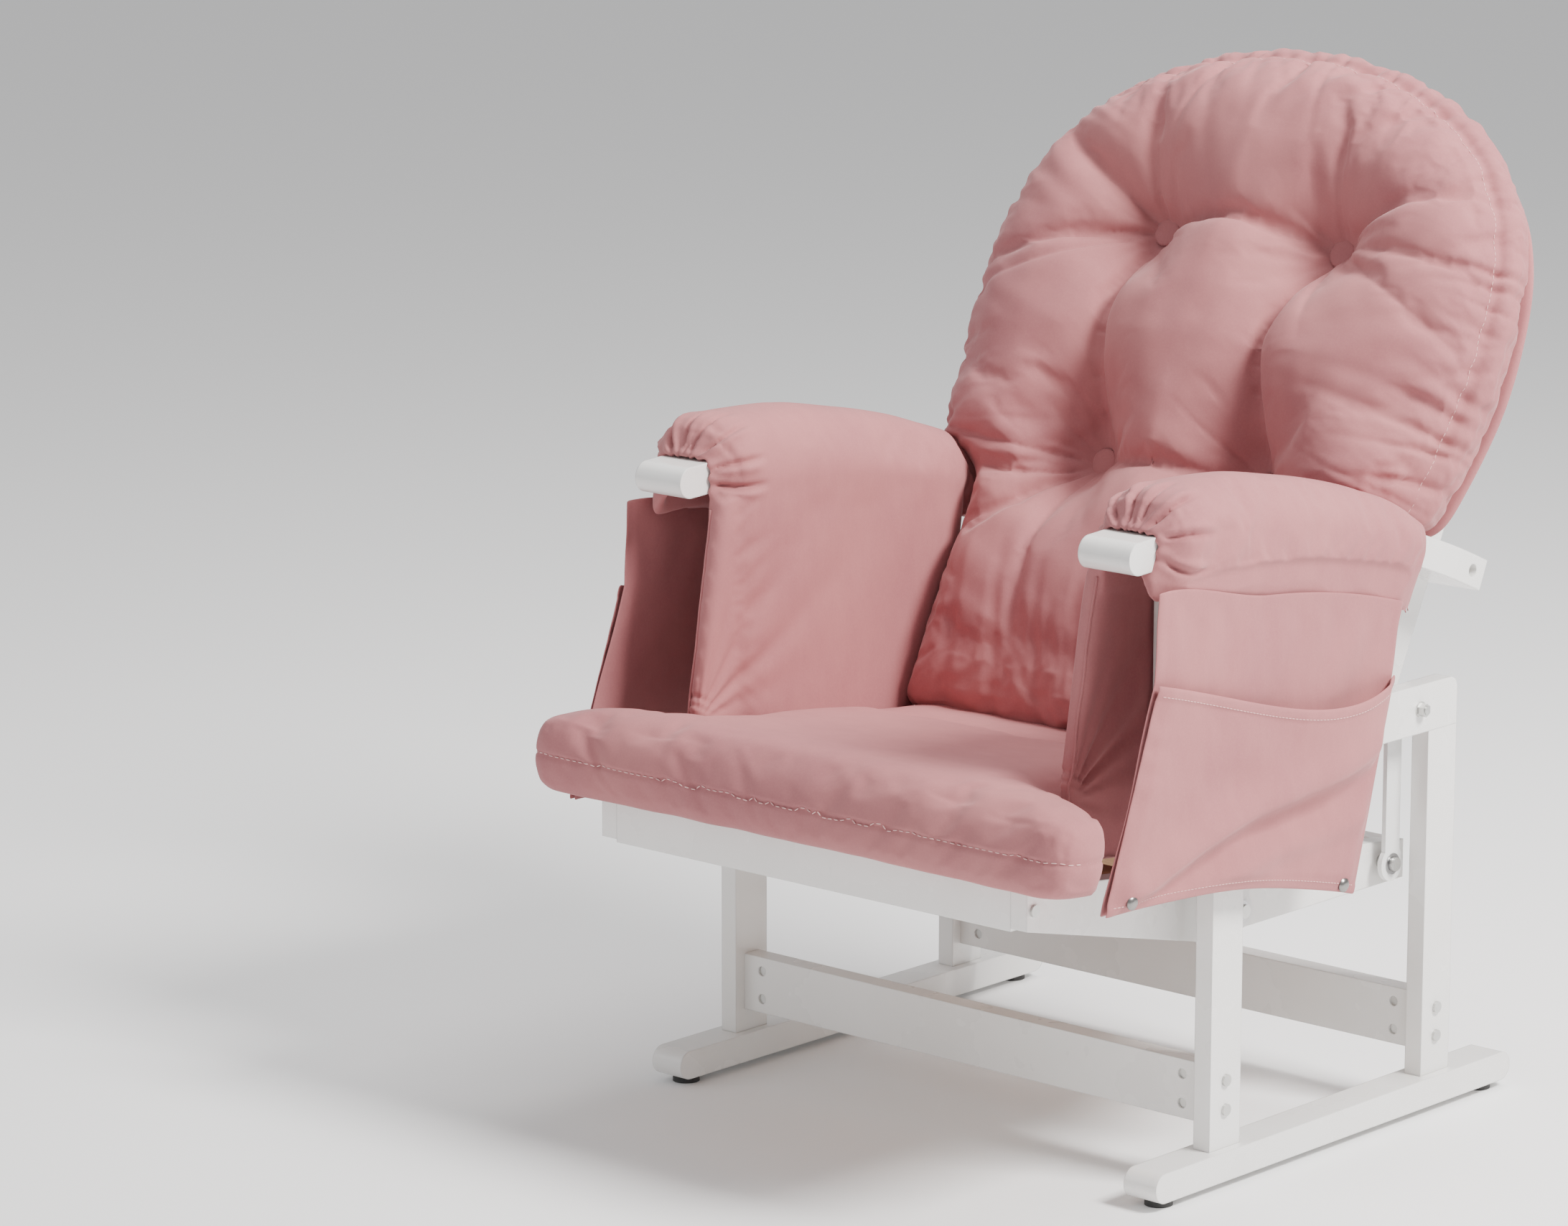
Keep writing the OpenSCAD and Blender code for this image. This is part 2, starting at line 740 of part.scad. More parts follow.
module back_board() {
    color(cloth_tone) centred() back_slab(board_n, board_n + board_t)
        back_outline(back_w / 2 - board_inset, upright_x - soft_gap, board_foot_s, back_len - board_inset);
}

module back_cushion() {
    foot_s = -60;
    top_s = [0.62, 0.84, 0.95] * back_len;
    top_n = [0.82, 0.42] * back_belly;
    rear_round = 24;
    color(cloth_tone) centred() difference() {
        intersection() {
            back_slab(-back_rear, back_belly) back_outline(back_w / 2, seat_body_w, foot_s, back_len);
            reclined() mirror([0, 1, 0]) across(-big / 2, big / 2) polygon([
                [-back_rear, foot_s],
                [back_belly, foot_s],
                [back_belly, top_s[0]],
                [top_n[0], top_s[1]],
                [top_n[1], top_s[2]],
                [0, back_len],
                [rear_round - back_rear, back_len],
                [-back_rear, back_len - rear_round]
            ]);
        }
        below_seat_top(soft_gap);
        for (side = [left, right])
            on_side(side) over_arm_cover(soft_gap);
        for (i = [0, 1], side = [left, right])
            on_side(side) reclined() translate([button_x[i], 0, button_s[i]]) rotate([90, 0, 0])
                cylinder(d1 = button_d + 4, d2 = 3.4 * button_d, h = back_belly + 1);
    }
}

// Cloth-covered buttons, each a shallow dome on a flat back
module back_buttons() {
    dome_h = 6;
    base_h = 3;
    r = button_d / 2;
    dome_r = (r * r + dome_h * dome_h) / (2 * dome_h);
    color(cloth_tone) centred()
        for (i = [0, 1], side = [left, right])
            on_side(side) reclined() translate([button_x[i], 0, button_s[i]]) rotate([90, 0, 0]) {
                cylinder(r = r, h = base_h);
                translate([0, 0, base_h]) intersection() {
                    translate([0, 0, dome_h - dome_r]) sphere(dome_r);
                    cylinder(r = r, h = dome_h + 1);
                }
            }
}

// Outline of the seat cushion, drawn as (x, y) from its front edge: wide ears and a narrow body
module seat_outline() {
    front_r = min(34, ear_back / 2);
    back_r = min(18, ear_back / 3);
    union() {
        translate([-seat_body_w, front_r])
            square([2 * seat_body_w, seat_reach + seat_rear - front_r]);
        hull() {
            for (i = [-1, 1]) {
                translate([i * (seat_w / 2 - front_r), front_r]) circle(front_r);
                translate([i * (seat_w / 2 - back_r), ear_back - back_r]) circle(back_r);
                translate([i * (seat_body_w - 1), ear_notch]) circle(1);
            }
        }
    }
}

module seat_cushion() {
    color(cloth_tone) centred()
        translate([0, -seat_reach, seat_bottom_front + soft_gap / 2]) rotate([-seat_slope, 0, 0])
            linear_extrude(seat_cushion_t - soft_gap / 2) seat_outline();
}

// Saddle-shaped padded cover over one arm
module arm_cover(side) {
    fillet = 24;
    r0 = cover_low_r;
    r1 = cover_top_r;
    x0 = pad_x;
    x1 = cover_out_x;
    color(cloth_tone) centred() on_side(side) along_arch(cover_front, cover_rear) difference() {
        union() {
            translate([r0, x0]) square([r1 - fillet - r0, x1 - x0]);
            translate([r0, x0 + fillet]) square([r1 - r0, x1 - x0 - 2 * fillet]);
            for (x = [x0 + fillet, x1 - fillet])
                translate([r1 - fillet, x]) circle(fillet);
        }
        translate([r0 - 1, frame_x - soft_gap])
            square([arm_arch_r + arm_t / 2 + cloth_play - r0 + 1, arm_w + 2 * soft_gap]);
    }
}

// The room that the right-hand arm cover takes, from its foot up, larger by the given gap
module over_arm_cover(gap) {
    along_arch(cover_front - gap, cover_rear + gap) translate([cover_low_r - gap, pad_x - 2 * gap])
        square([cover_top_r - cover_low_r + 2 * gap, cover_out_x - pad_x + 3 * gap]);
}

// Padded panel inside one arm, down to the seat's slats
module arm_inner_pad(side) {
    front_y = -arm_reach - pad_flare;
    rear_y = pad_rear - pad_lean;
    lift = 2 * soft_gap;
    color(cloth_tone) centred() on_side(side) across(pad_x, pad_out_x) intersection() {
        polygon([
            [cover_front - 8, arm_height],
            [-arm_reach + 20, seat_height + 0.5 * (arm_height - seat_height)],
            [front_y + 2, seat_height],
            [front_y, seat_z(front_y) + lift],
            [rear_y, seat_z(rear_y) + lift],
            [pad_rear - 0.16 * pad_lean, seat_height + 0.35 * (arm_height - seat_height)],
            [pad_rear, arm_height]
        ]);
        under_cover();
    }
}

// Everything below the foot of the arm cover's roll, drawn as (y, z)
module under_cover() {
    translate([arch_y, arch_z]) circle(r = cover_low_r - cloth_play, $fn = 720);
}

// Side outline of the outer panel, drawn as (y, z), up to the roll of the arm cover. Its foot
// arches between the two corners
module panel_outline() {
    corner = 14;
    intersection() {
        polygon([
            [mouth_front.x + 4, arm_height],
            mouth_front,
            [panel_front_foot.x, panel_front_foot.y + corner],
            [panel_front_foot.x + corner, panel_front_foot.y],
            for (t = [0.2, 0.5, 0.8]) panel_foot(t),
            [panel_rear_foot.x - corner, panel_rear_foot.y],
            [panel_rear_foot.x, panel_rear_foot.y + corner],
            mouth_rear,
            [panel_rear, arm_height]
        ]);
        under_cover();
    }
}

// Point of the panel's foot at a share of the way from the front to the rear corner
function panel_foot(t) = panel_front_foot + t * (panel_rear_foot - panel_front_foot)
    + [0, 4 * panel_arch * t * (1 - t)];

// Point of the pocket's mouth at a share of the way from the front to the rear
function mouth_point(t) = mouth_front + t * (mouth_rear - mouth_front) - [0, 4 * mouth_sag * t * (1 - t)];

// Everything below the pocket's mouth, drawn as (y, z) and wider than the panel
module below_mouth() {
    polygon([
        [mouth_front.x - pocket_over, mouth_front.y],
        for (t = [0, 0.25, 0.5, 0.75, 1]) mouth_point(t),
        [mouth_rear.x + pocket_over, mouth_rear.y],
        [mouth_rear.x + pocket_over, 0],
        [mouth_front.x - pocket_over, 0]
    ]);
}

module outer_panel(side) {
    color(cloth_tone) centred() on_side(side) across(panel_x, panel_x + cloth_t) panel_outline();
}

// Patch pocket, closed along its front, bottom and rear edges
module pocket(side) {
    color(cloth_tone) centred() on_side(side) difference() {
        across(panel_x + cloth_t, pocket_x + cloth_t) intersection() {
            panel_outline();
            below_mouth();
        }
        across(panel_x + cloth_t - 1, pocket_x) difference() {
            translate([0, pocket_over / 16]) panel_outline();
            difference() {
                panel_outline();
                offset(delta = -2 * cloth_t) panel_outline();
            }
        }
    }
}

module cover_snaps() {
    dome_h = 3;
    r = snap_d / 2;
    dome_r = (r * r + dome_h * dome_h) / (2 * dome_h);
    color("gainsboro") centred()
        for (side = [left, right], p = snap_ps)
            on_side(side) translate([pocket_x + cloth_t, p.x, p.y]) rotate([0, 90, 0]) intersection() {
                translate([0, 0, dome_h - dome_r]) sphere(dome_r);
                cylinder(r = r, h = dome_h + 1);
            }
}

base_runner(left);  // base_runner_left
base_runner(right);  // base_runner_right
base_post(left, base_post_ys[0]);  // base_post_front_left
base_post(right, base_post_ys[0]);  // base_post_front_right
base_post(left, base_post_ys[1]);  // base_post_rear_left
base_post(right, base_post_ys[1]);  // base_post_rear_right
base_top_rail(left);  // base_top_rail_left
base_top_rail(right);  // base_top_rail_right
base_stretcher(base_post_ys[0]);  // base_stretcher_front
base_stretcher(base_post_ys[1]);  // base_stretcher_rear
floor_glides();
stretcher_bolts();
stretcher_barrel_nuts();
upper_pivot_bolts();
upper_pivot_nuts();
upper_pivot_spacers();
swing_link(left, pivot_ys[0]);  // link_front_left
swing_link(right, pivot_ys[0]);  // link_front_right
swing_link(left, pivot_ys[1]);  // link_rear_left
swing_link(right, pivot_ys[1]);  // link_rear_right
link_bearings(left, pivot_ys[0]);  // bearings_front_left
link_bearings(right, pivot_ys[0]);  // bearings_front_right
link_bearings(left, pivot_ys[1]);  // bearings_rear_left
link_bearings(right, pivot_ys[1]);  // bearings_rear_right
lower_pivot_bolts();
lower_pivot_nuts();
lower_pivot_spacers();
seat_side_rail(left);  // seat_side_rail_left
seat_side_rail(right);  // seat_side_rail_right
seat_front_rail();
seat_rear_rail();
seat_cleat(left);  // seat_cleat_left
seat_cleat(right);  // seat_cleat_right
seat_slat(0);  // seat_slat_1
seat_slat(1);  // seat_slat_2
seat_slat(2);  // seat_slat_3
seat_slat(3);  // seat_slat_4
seat_slat(4);  // seat_slat_5
arm_post(left);  // arm_post_left
arm_post(right);  // arm_post_right
arm(left);  // arm_left
arm(right);  // arm_right
back_upright(left);  // back_upright_left
back_upright(right);  // back_upright_right
back_rail_top();
back_rail_bottom();
frame_bolts();
back_board();
seat_cushion();
back_cushion();
back_buttons();
arm_cover(left);  // arm_cover_left
arm_cover(right);  // arm_cover_right
arm_inner_pad(left);  // arm_inner_pad_left
arm_inner_pad(right);  // arm_inner_pad_right
outer_panel(left);  // outer_panel_left
outer_panel(right);  // outer_panel_right
pocket(left);  // pocket_left
pocket(right);  // pocket_right
cover_snaps();
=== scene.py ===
import math
import random
import bmesh
import bpy
import numpy as np
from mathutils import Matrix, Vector, noise
from mathutils.bvhtree import BVHTree
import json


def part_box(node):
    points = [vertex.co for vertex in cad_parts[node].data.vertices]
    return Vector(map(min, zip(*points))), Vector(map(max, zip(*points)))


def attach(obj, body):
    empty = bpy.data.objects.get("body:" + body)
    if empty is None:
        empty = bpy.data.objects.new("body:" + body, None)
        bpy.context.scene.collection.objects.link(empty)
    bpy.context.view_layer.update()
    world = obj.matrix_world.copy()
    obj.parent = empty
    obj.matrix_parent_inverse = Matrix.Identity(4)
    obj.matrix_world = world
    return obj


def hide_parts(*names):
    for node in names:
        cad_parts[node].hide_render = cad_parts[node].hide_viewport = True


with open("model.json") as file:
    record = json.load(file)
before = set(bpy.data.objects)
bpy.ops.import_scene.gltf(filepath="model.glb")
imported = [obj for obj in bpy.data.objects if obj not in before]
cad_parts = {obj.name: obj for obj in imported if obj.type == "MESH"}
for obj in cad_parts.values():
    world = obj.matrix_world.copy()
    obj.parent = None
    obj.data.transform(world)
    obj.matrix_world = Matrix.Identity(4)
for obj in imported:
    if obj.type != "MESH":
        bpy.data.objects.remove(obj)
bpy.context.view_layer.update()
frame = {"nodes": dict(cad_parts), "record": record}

scene = bpy.context.scene


# where things are, from the frame

# the chair is drawn about a reference line across it; the frame's origin is the middle of its box
places = {"seatReach": 0.452, "recline": math.radians(26.4), "footY": 0.054, "footZ": 0.400}
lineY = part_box("seat_cushion")[0][1] + places["seatReach"]

armLow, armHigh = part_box("arm_right")
armX = (armLow[0] + armHigh[0]) / 2
armHalf = (armHigh[0] - armLow[0]) / 2
armNoseY = armLow[1]
archSetup = {"radius": 1.2, "rise": math.radians(3.5), "noseZ": 0.646, "noseR": 0.016}
archY = armNoseY + archSetup["noseR"] + archSetup["radius"] * math.sin(archSetup["rise"])
archZ = archSetup["noseZ"] - archSetup["radius"] * math.cos(archSetup["rise"])

sinR, cosR = math.sin(places["recline"]), math.cos(places["recline"])


# a point of the back, x across, s up the recline and n in front of its plane
def fromBack(x, s, n):
    y = places["footY"] + lineY + s * sinR - n * cosR
    z = places["footZ"] + s * cosR + n * sinR
    return np.stack([x, y, z], -1)


def toBack(points):
    y = points[:, 1] - places["footY"] - lineY
    z = points[:, 2] - places["footZ"]
    return points[:, 0], y * sinR + z * cosR, -y * cosR + z * sinR


# height on the arch at a distance r from its middle
def archHeight(y, r):
    return archZ + np.sqrt(r * r - (y - archY) ** 2)


# mesh helpers

def smoothStep(low, high, value):
    t = np.clip((value - low) / (high - low), 0, 1)
    return t * t * (3 - 2 * t)


def makeObject(name, points, faces):
    mesh = bpy.data.meshes.new(name)
    mesh.from_pydata([tuple(p) for p in points], [], faces)
    obj = bpy.data.objects.new(name, mesh)
    scene.collection.objects.link(obj)
    faceOutward(obj)
    return obj


def faceOutward(obj):
    work = bmesh.new()
    work.from_mesh(obj.data)
    bmesh.ops.recalc_face_normals(work, faces=work.faces)
    work.to_mesh(obj.data)
    work.free()


def smoothShade(obj):
    obj.data.polygons.foreach_set("use_smooth", [True] * len(obj.data.polygons))
    obj.data.update()


def bake(obj):
    shown = obj.evaluated_get(bpy.context.evaluated_depsgraph_get())
    mesh = bpy.data.meshes.new_from_object(shown)
    old = obj.data
    obj.modifiers.clear()
    obj.data = mesh
    bpy.data.meshes.remove(old)


def modify(obj, kind, **settings):
    step = obj.modifiers.new(kind.lower(), kind)
    for key, value in settings.items():
        setattr(step, key, value)
    bake(obj)


def getPoints(obj):
    flat = np.empty(len(obj.data.vertices) * 3)
    obj.data.vertices.foreach_get("co", flat)
    return flat.reshape(-1, 3)


def setPoints(obj, points):
    obj.data.vertices.foreach_set("co", points.astype(np.float32).ravel())
    obj.data.update()


def getNormals(obj):
    flat = np.empty(len(obj.data.vertices) * 3)
    obj.data.vertex_normals.foreach_get("vector", flat)
    return flat.reshape(-1, 3)


# rings of equal length joined one to the next, closed at both ends
def loftRings(name, rings):
    count = len(rings[0])
    points = [p for ring in rings for p in ring]
    faces = []
    for k in range(len(rings) - 1):
        for i in range(count):
            j = (i + 1) % count
            faces.append((k * count + i, k * count + j, (k + 1) * count + j, (k + 1) * count + i))
    for k in (0, len(rings) - 1):
        ring = np.array(rings[k])
        points.append(tuple(ring.mean(0)))
        hub = len(points) - 1
        for i in range(count):
            faces.append((k * count + i, k * count + (i + 1) % count, hub))
    return makeObject(name, points, faces)


def joinInto(name, parts):
    points, faces = [], []
    for part in parts:
        base = len(points)
        points += [tuple(v.co) for v in part.data.vertices]
        faces += [tuple(base + i for i in f.vertices) for f in part.data.polygons]
        bpy.data.objects.remove(part)
    mesh = bpy.data.meshes.new(name)
    mesh.from_pydata(points, [], faces)
    obj = bpy.data.objects.new(name, mesh)
    scene.collection.objects.link(obj)
    return obj


def mirrored(obj, name):
    mesh = obj.data.copy()
    twin = bpy.data.objects.new(name, mesh)
    scene.collection.objects.link(twin)
    points = getPoints(twin)
    points[:, 0] *= -1
    setPoints(twin, points)
    mesh.flip_normals()
    return twin


def softNoise(points, scale, seed):
    shift = Vector((seed * 3.1, seed * 7.7, seed * 1.3))
    return np.array([noise.noise(Vector(p) * scale + shift) for p in points])


# blows a closed cloth up like a stuffed cushion; pinned points stay, the rest move no further than the cap
def stuff(obj, pinned, cloth):
    start = getPoints(obj)
    group = obj.vertex_groups.new(name="pin")
    for i in np.nonzero(pinned > 0.01)[0]:
        group.add([int(i)], float(pinned[i]), "REPLACE")
    step = obj.modifiers.new("cloth", "CLOTH")
    put = step.settings
    put.vertex_group_mass = "pin"
    put.use_pressure = True
    put.uniform_pressure_force = cloth["pressure"]
    put.shrink_min = cloth["shrink"]
    put.quality = 5
    put.mass = 0.15
    put.tension_stiffness = cloth["stiffness"]
    put.compression_stiffness = cloth["stiffness"]
    put.bending_stiffness = cloth["bending"]
    put.air_damping = 2.0
    put.effector_weights.gravity = 0
    step.collision_settings.use_collision = False
    for number in range(1, cloth["frames"] + 1):
        scene.frame_set(number)
    bake(obj)
    scene.frame_set(1)
    obj.vertex_groups.clear()
    moved = getPoints(obj) - start
    length = np.linalg.norm(moved, axis=1, keepdims=True)
    cap = cloth["cap"]
    held = moved * np.where(length > 1e-9, cap * np.tanh(length / cap) / np.maximum(length, 1e-9), 1)
    setPoints(obj, start + held)


# distance from points (2D) to a bent line, more than 0 on its left; and how far along it they are, from 0 to 1
def alongLine(px, py, line):
    best = np.full(len(px), 9.0)
    share = np.zeros(len(px))
    total = len(line) - 1
    for k in range(total):
        (ax, ay), (bx, by) = line[k], line[k + 1]
        dx, dy = bx - ax, by - ay
        t = np.clip(((px - ax) * dx + (py - ay) * dy) / (dx * dx + dy * dy), 0, 1)
        d = np.hypot(px - ax - t * dx, py - ay - t * dy)
        left = np.where(dx * (py - ay) - dy * (px - ax) >= 0, 1.0, -1.0)
        near = d < np.abs(best)
        best[near] = (d * left)[near]
        share[near] = (k + t[near]) / total
    return best, share


# a smooth bend through chosen points
def bend(*points, steps=14):
    points = np.array(points)
    run = np.concatenate([[0], np.cumsum(np.hypot(*np.diff(points, axis=0).T))])
    at = np.linspace(0, run[-1], steps)
    line = np.stack([np.interp(at, run, points[:, i]) for i in (0, 1)], -1)
    for _ in range(6):
        line[1:-1] = (line[:-2] + 2 * line[1:-1] + line[2:]) / 4
    return [tuple(p) for p in line]


# small stitches lying along a line of places on a surface
def stitchRow(name, path, normals, thread):
    points, faces = [], []
    pitch = thread["length"] + thread["gap"]
    path = np.array(path)
    normals = np.array(normals)
    run = np.concatenate([[0], np.cumsum(np.linalg.norm(np.diff(path, axis=0), axis=1))])
    for start in np.arange(0, run[-1] - pitch, pitch):
        ends = []
        for at in (start, start + thread["length"]):
            spot = np.array([np.interp(at, run, path[:, i]) for i in range(3)])
            up = np.array([np.interp(at, run, normals[:, i]) for i in range(3)])
            ends.append((spot, up / max(np.linalg.norm(up), 1e-6)))
        axis = ends[1][0] - ends[0][0]
        axis /= max(np.linalg.norm(axis), 1e-9)
        base = len(points)
        for k, size in ((0, 0.5), (0.2, 1), (0.8, 1), (1, 0.5)):
            spot = ends[0][0] * (1 - k) + ends[1][0] * k
            up = ends[0][1] * (1 - k) + ends[1][1] * k
            side = np.cross(axis, up)
            for i in range(6):
                angle = i * math.pi / 3
                ring = side * math.cos(angle) + up * math.sin(angle)
                points.append(spot + up * thread["lift"] + ring * thread["radius"] * size)
        for k in range(3):
            for i in range(6):
                j = (i + 1) % 6
                faces.append((base + k * 6 + i, base + k * 6 + j, base + k * 6 + 6 + j, base + k * 6 + 6 + i))
        faces.append(tuple(base + i for i in range(6)))
        faces.append(tuple(base + 18 + i for i in range(6)))
    obj = makeObject(name, points, faces)
    smoothShade(obj)
    return obj


# a finished surface, ready to be searched
def treeOf(obj):
    return BVHTree.FromPolygons([v.co for v in obj.data.vertices], [p.vertices for p in obj.data.polygons])


# drops a list of points on to the nearest place of a finished surface
def layOn(obj, points):
    tree = treeOf(obj)
    spots, ups = [], []
    for p in points:
        spot, up, index, gap = tree.find_nearest(Vector(p))
        spots.append(np.array(spot))
        ups.append(np.array(up))
    return spots, ups


# a round thread or piping along a line of places
def tube(name, path, radius, sides=8):
    path = np.array(path, float)
    ways = np.gradient(path, axis=0)
    ways /= np.linalg.norm(ways, axis=1, keepdims=True)
    rings = []
    side = np.cross(ways[0], (0.31, 0.17, 0.93))
    for spot, way in zip(path, ways):
        side = side - way * np.dot(side, way)
        side /= np.linalg.norm(side)
        up = np.cross(way, side)
        turns = [i * 2 * math.pi / sides for i in range(sides)]
        rings.append([tuple(spot + radius * (side * math.cos(a) + up * math.sin(a))) for a in turns])
    obj = loftRings(name, rings)
    smoothShade(obj)
    return obj


# shader helpers

class Wire:
    # a socket that adds up like a number
    def __init__(self, shader, socket):
        self.shader = shader
        self.socket = socket

    def join(self, operation, first, second):
        return self.shader.make("ShaderNodeMath", {"operation": operation}, {0: first, 1: second})

    def __add__(self, other): return self.join("ADD", self, other)
    def __radd__(self, other): return self.join("ADD", other, self)
    def __sub__(self, other): return self.join("SUBTRACT", self, other)
    def __rsub__(self, other): return self.join("SUBTRACT", other, self)
    def __mul__(self, other): return self.join("MULTIPLY", self, other)
    def __rmul__(self, other): return self.join("MULTIPLY", other, self)
    def __truediv__(self, other): return self.join("DIVIDE", self, other)
    def __pow__(self, other): return self.join("POWER", self, other)


class Shader:
    def __init__(self, name):
        self.material = bpy.data.materials.new(name)
        self.material.use_nodes = True
        self.nodes = self.material.node_tree.nodes
        self.links = self.material.node_tree.links
        self.surface = self.nodes["Principled BSDF"]
        self.place = self.make("ShaderNodeTexCoord", {}, {}, "Object")

    # one node: its settings first, then the values or links of its sockets
    def make(self, kind, settings, values, take=0):
        node = self.nodes.new(kind)
        stops = settings.pop("stops", None)
        for key, value in settings.items():
            setattr(node, key, value)
        if stops:
            while len(node.color_ramp.elements) < len(stops):
                node.color_ramp.elements.new(0.5)
            for element, (at, colour) in zip(node.color_ramp.elements, stops):
                element.position = at
                element.color = colour
        for key, value in values.items():
            self.put(node.inputs[key], value)
        return Wire(self, node.outputs[take])

    def put(self, socket, value):
        if isinstance(value, Wire):
            self.links.new(value.socket, socket)
        else:
            socket.default_value = value

    def setSurface(self, **values):
        for key, value in values.items():
            self.put(self.surface.inputs[key], value)

    def stretch(self, scale):
        return self.make("ShaderNodeMapping", {}, {"Vector": self.place, "Scale": scale})

    def cloud(self, scale, detail=3.0, rough=0.55, vector=None):
        return self.make("ShaderNodeTexNoise", {},
                         {"Vector": vector or self.place, "Scale": scale, "Detail": detail, "Roughness": rough})

    def ramp(self, value, low, high):
        stops = [(low, (0, 0, 0, 1)), (high, (1, 1, 1, 1))]
        return self.make("ShaderNodeValToRGB", {"stops": stops}, {"Fac": value})

    def mix(self, factor, first, second):
        node = self.nodes.new("ShaderNodeMix")
        node.data_type = "RGBA"
        self.put(node.inputs[0], factor)
        self.put(node.inputs[6], first)
        self.put(node.inputs[7], second)
        return Wire(self, node.outputs[2])

    def bump(self, height, strength, distance, normal=None):
        values = {"Height": height, "Strength": strength, "Distance": distance}
        if normal:
            values["Normal"] = normal
        return self.make("ShaderNodeBump", {}, values)


suede = {
    "light": (0.460, 0.180, 0.180, 1), "deep": (0.360, 0.133, 0.143, 1), "worn": (0.560, 0.245, 0.238, 1),
    "sheen": 0.22, "sheenRough": 0.40, "sheenTint": (1.0, 0.78, 0.77, 1), "rough": 0.88,
    "blotch": 5.5, "brush": 34.0, "fibre": 2100.0,
}


def suedeMaterial():
    s = Shader("roseSuede")
    blotch = s.ramp(s.cloud(suede["blotch"], 4.0), 0.36, 0.66)
    strokes = s.ramp(s.cloud(suede["brush"], 3.0, 0.6, s.stretch((1.0, 1.6, 0.55))), 0.38, 0.68)
    fibre = s.cloud(suede["fibre"], 2.0, 0.7)
    fleck = s.cloud(suede["fibre"] * 0.22, 2.0, 0.6)
    base = s.mix(blotch * 0.55 + strokes * 0.2, suede["deep"], suede["light"])
    colour = s.mix((fleck * 0.5 + fibre * 0.5) ** 3.0 * 0.9, base, suede["worn"])
    rough = suede["rough"] - strokes * 0.07 + fibre * 0.05
    nap = s.bump(fibre * 0.6 + fleck * 0.4, 0.30, 0.0006)
    s.setSurface(**{
        "Base Color": colour, "Roughness": rough, "Normal": s.bump(strokes * 0.5, 0.10, 0.0012, nap),
        "Sheen Weight": suede["sheen"], "Sheen Roughness": suede["sheenRough"], "Sheen Tint": suede["sheenTint"],
        "Specular IOR Level": 0.25,
    })
    return s.material


def threadMaterial():
    s = Shader("roseThread")
    twist = s.cloud(900.0, 2.0)
    colour = s.mix(twist, (0.62, 0.33, 0.32, 1), (0.80, 0.52, 0.50, 1))
    s.setSurface(**{"Base Color": colour, "Roughness": 0.55 + twist * 0.2, "Normal": s.bump(twist, 0.4, 0.0004)})
    return s.material


def lacquerMaterial():
    s = Shader("whiteLacquer")
    peel = s.cloud(260.0, 2.0)
    dust = s.ramp(s.cloud(9.0, 4.0), 0.35, 0.75)
    edges = s.make("ShaderNodeBevel", {"samples": 6}, {"Radius": 0.0022})
    colour = s.mix(dust, (0.800, 0.785, 0.760, 1), (0.850, 0.842, 0.825, 1))
    s.setSurface(**{
        "Base Color": colour, "Roughness": 0.24 + dust * 0.08, "Normal": s.bump(peel, 0.05, 0.0005, edges),
        "Coat Weight": 0.35, "Coat Roughness": 0.12,
    })
    return s.material


def slatMaterial():
    s = Shader("slatWood")
    grain = s.cloud(30.0, 6.0, 0.65, s.stretch((0.35, 9.0, 9.0)))
    pores = s.ramp(s.cloud(300.0, 3.0, 0.7, s.stretch((0.08, 5.0, 5.0))), 0.45, 0.62)
    base = s.mix(grain, (0.40, 0.235, 0.115, 1), (0.66, 0.46, 0.27, 1))
    colour = s.mix(pores * 0.4, base, (0.30, 0.17, 0.08, 1))
    s.setSurface(**{"Base Color": colour, "Roughness": 0.5 + grain * 0.15, "Normal": s.bump(pores, 0.25, 0.0005)})
    return s.material


def metalMaterial(name, tone, rough, scratch):
    s = Shader(name)
    brushed = s.cloud(420.0, 4.0, 0.65, s.stretch((0.2, 4.0, 4.0)))
    haze = s.ramp(s.cloud(22.0, 3.0), 0.35, 0.75)
    colour = s.mix(haze, tone, tuple(c * 0.86 for c in tone[:3]) + (1,))
    s.setSurface(**{
        "Base Color": colour, "Metallic": 1.0, "Roughness": rough + brushed * scratch + haze * 0.05,
        "Normal": s.bump(brushed, 0.08, 0.0003),
    })
    return s.material


def powderMaterial():
    s = Shader("whitePowderCoat")
    grit = s.cloud(900.0, 3.0)
    colour = s.mix(grit, (0.74, 0.74, 0.73, 1), (0.82, 0.82, 0.81, 1))
    s.setSurface(**{"Base Color": colour, "Roughness": 0.42 + grit * 0.08, "Normal": s.bump(grit, 0.15, 0.0003)})
    return s.material


def nylonMaterial():
    s = Shader("floorGlideNylon")
    scuff = s.cloud(180.0, 4.0)
    colour = s.mix(scuff, (0.020, 0.020, 0.021, 1), (0.055, 0.054, 0.052, 1))
    s.setSurface(**{"Base Color": colour, "Roughness": 0.5 + scuff * 0.25, "Normal": s.bump(scuff, 0.2, 0.0005)})
    return s.material


print("materials")
suedeLook = suedeMaterial()
threadLook = threadMaterial()
hardLooks = {
    "white_lacquer": lacquerMaterial(),
    "slat_wood": slatMaterial(),
    "zinc_steel": metalMaterial("zincSteel", (0.62, 0.62, 0.60, 1), 0.30, 0.20),
    "link_steel": powderMaterial(),
    "bearing_steel": metalMaterial("bearingSteel", (0.46, 0.46, 0.47, 1), 0.22, 0.12),
    "floor_glide_plastic": nylonMaterial(),
    "snap_metal": metalMaterial("snapMetal", (0.27, 0.26, 0.25, 1), 0.24, 0.12),
}
for part in frame["record"]["subparts"]:
    if part["material_slot"] in hardLooks:
        mesh = frame["nodes"][part["node"]].data
        mesh.materials.clear()
        mesh.materials.append(hardLooks[part["material_slot"]])


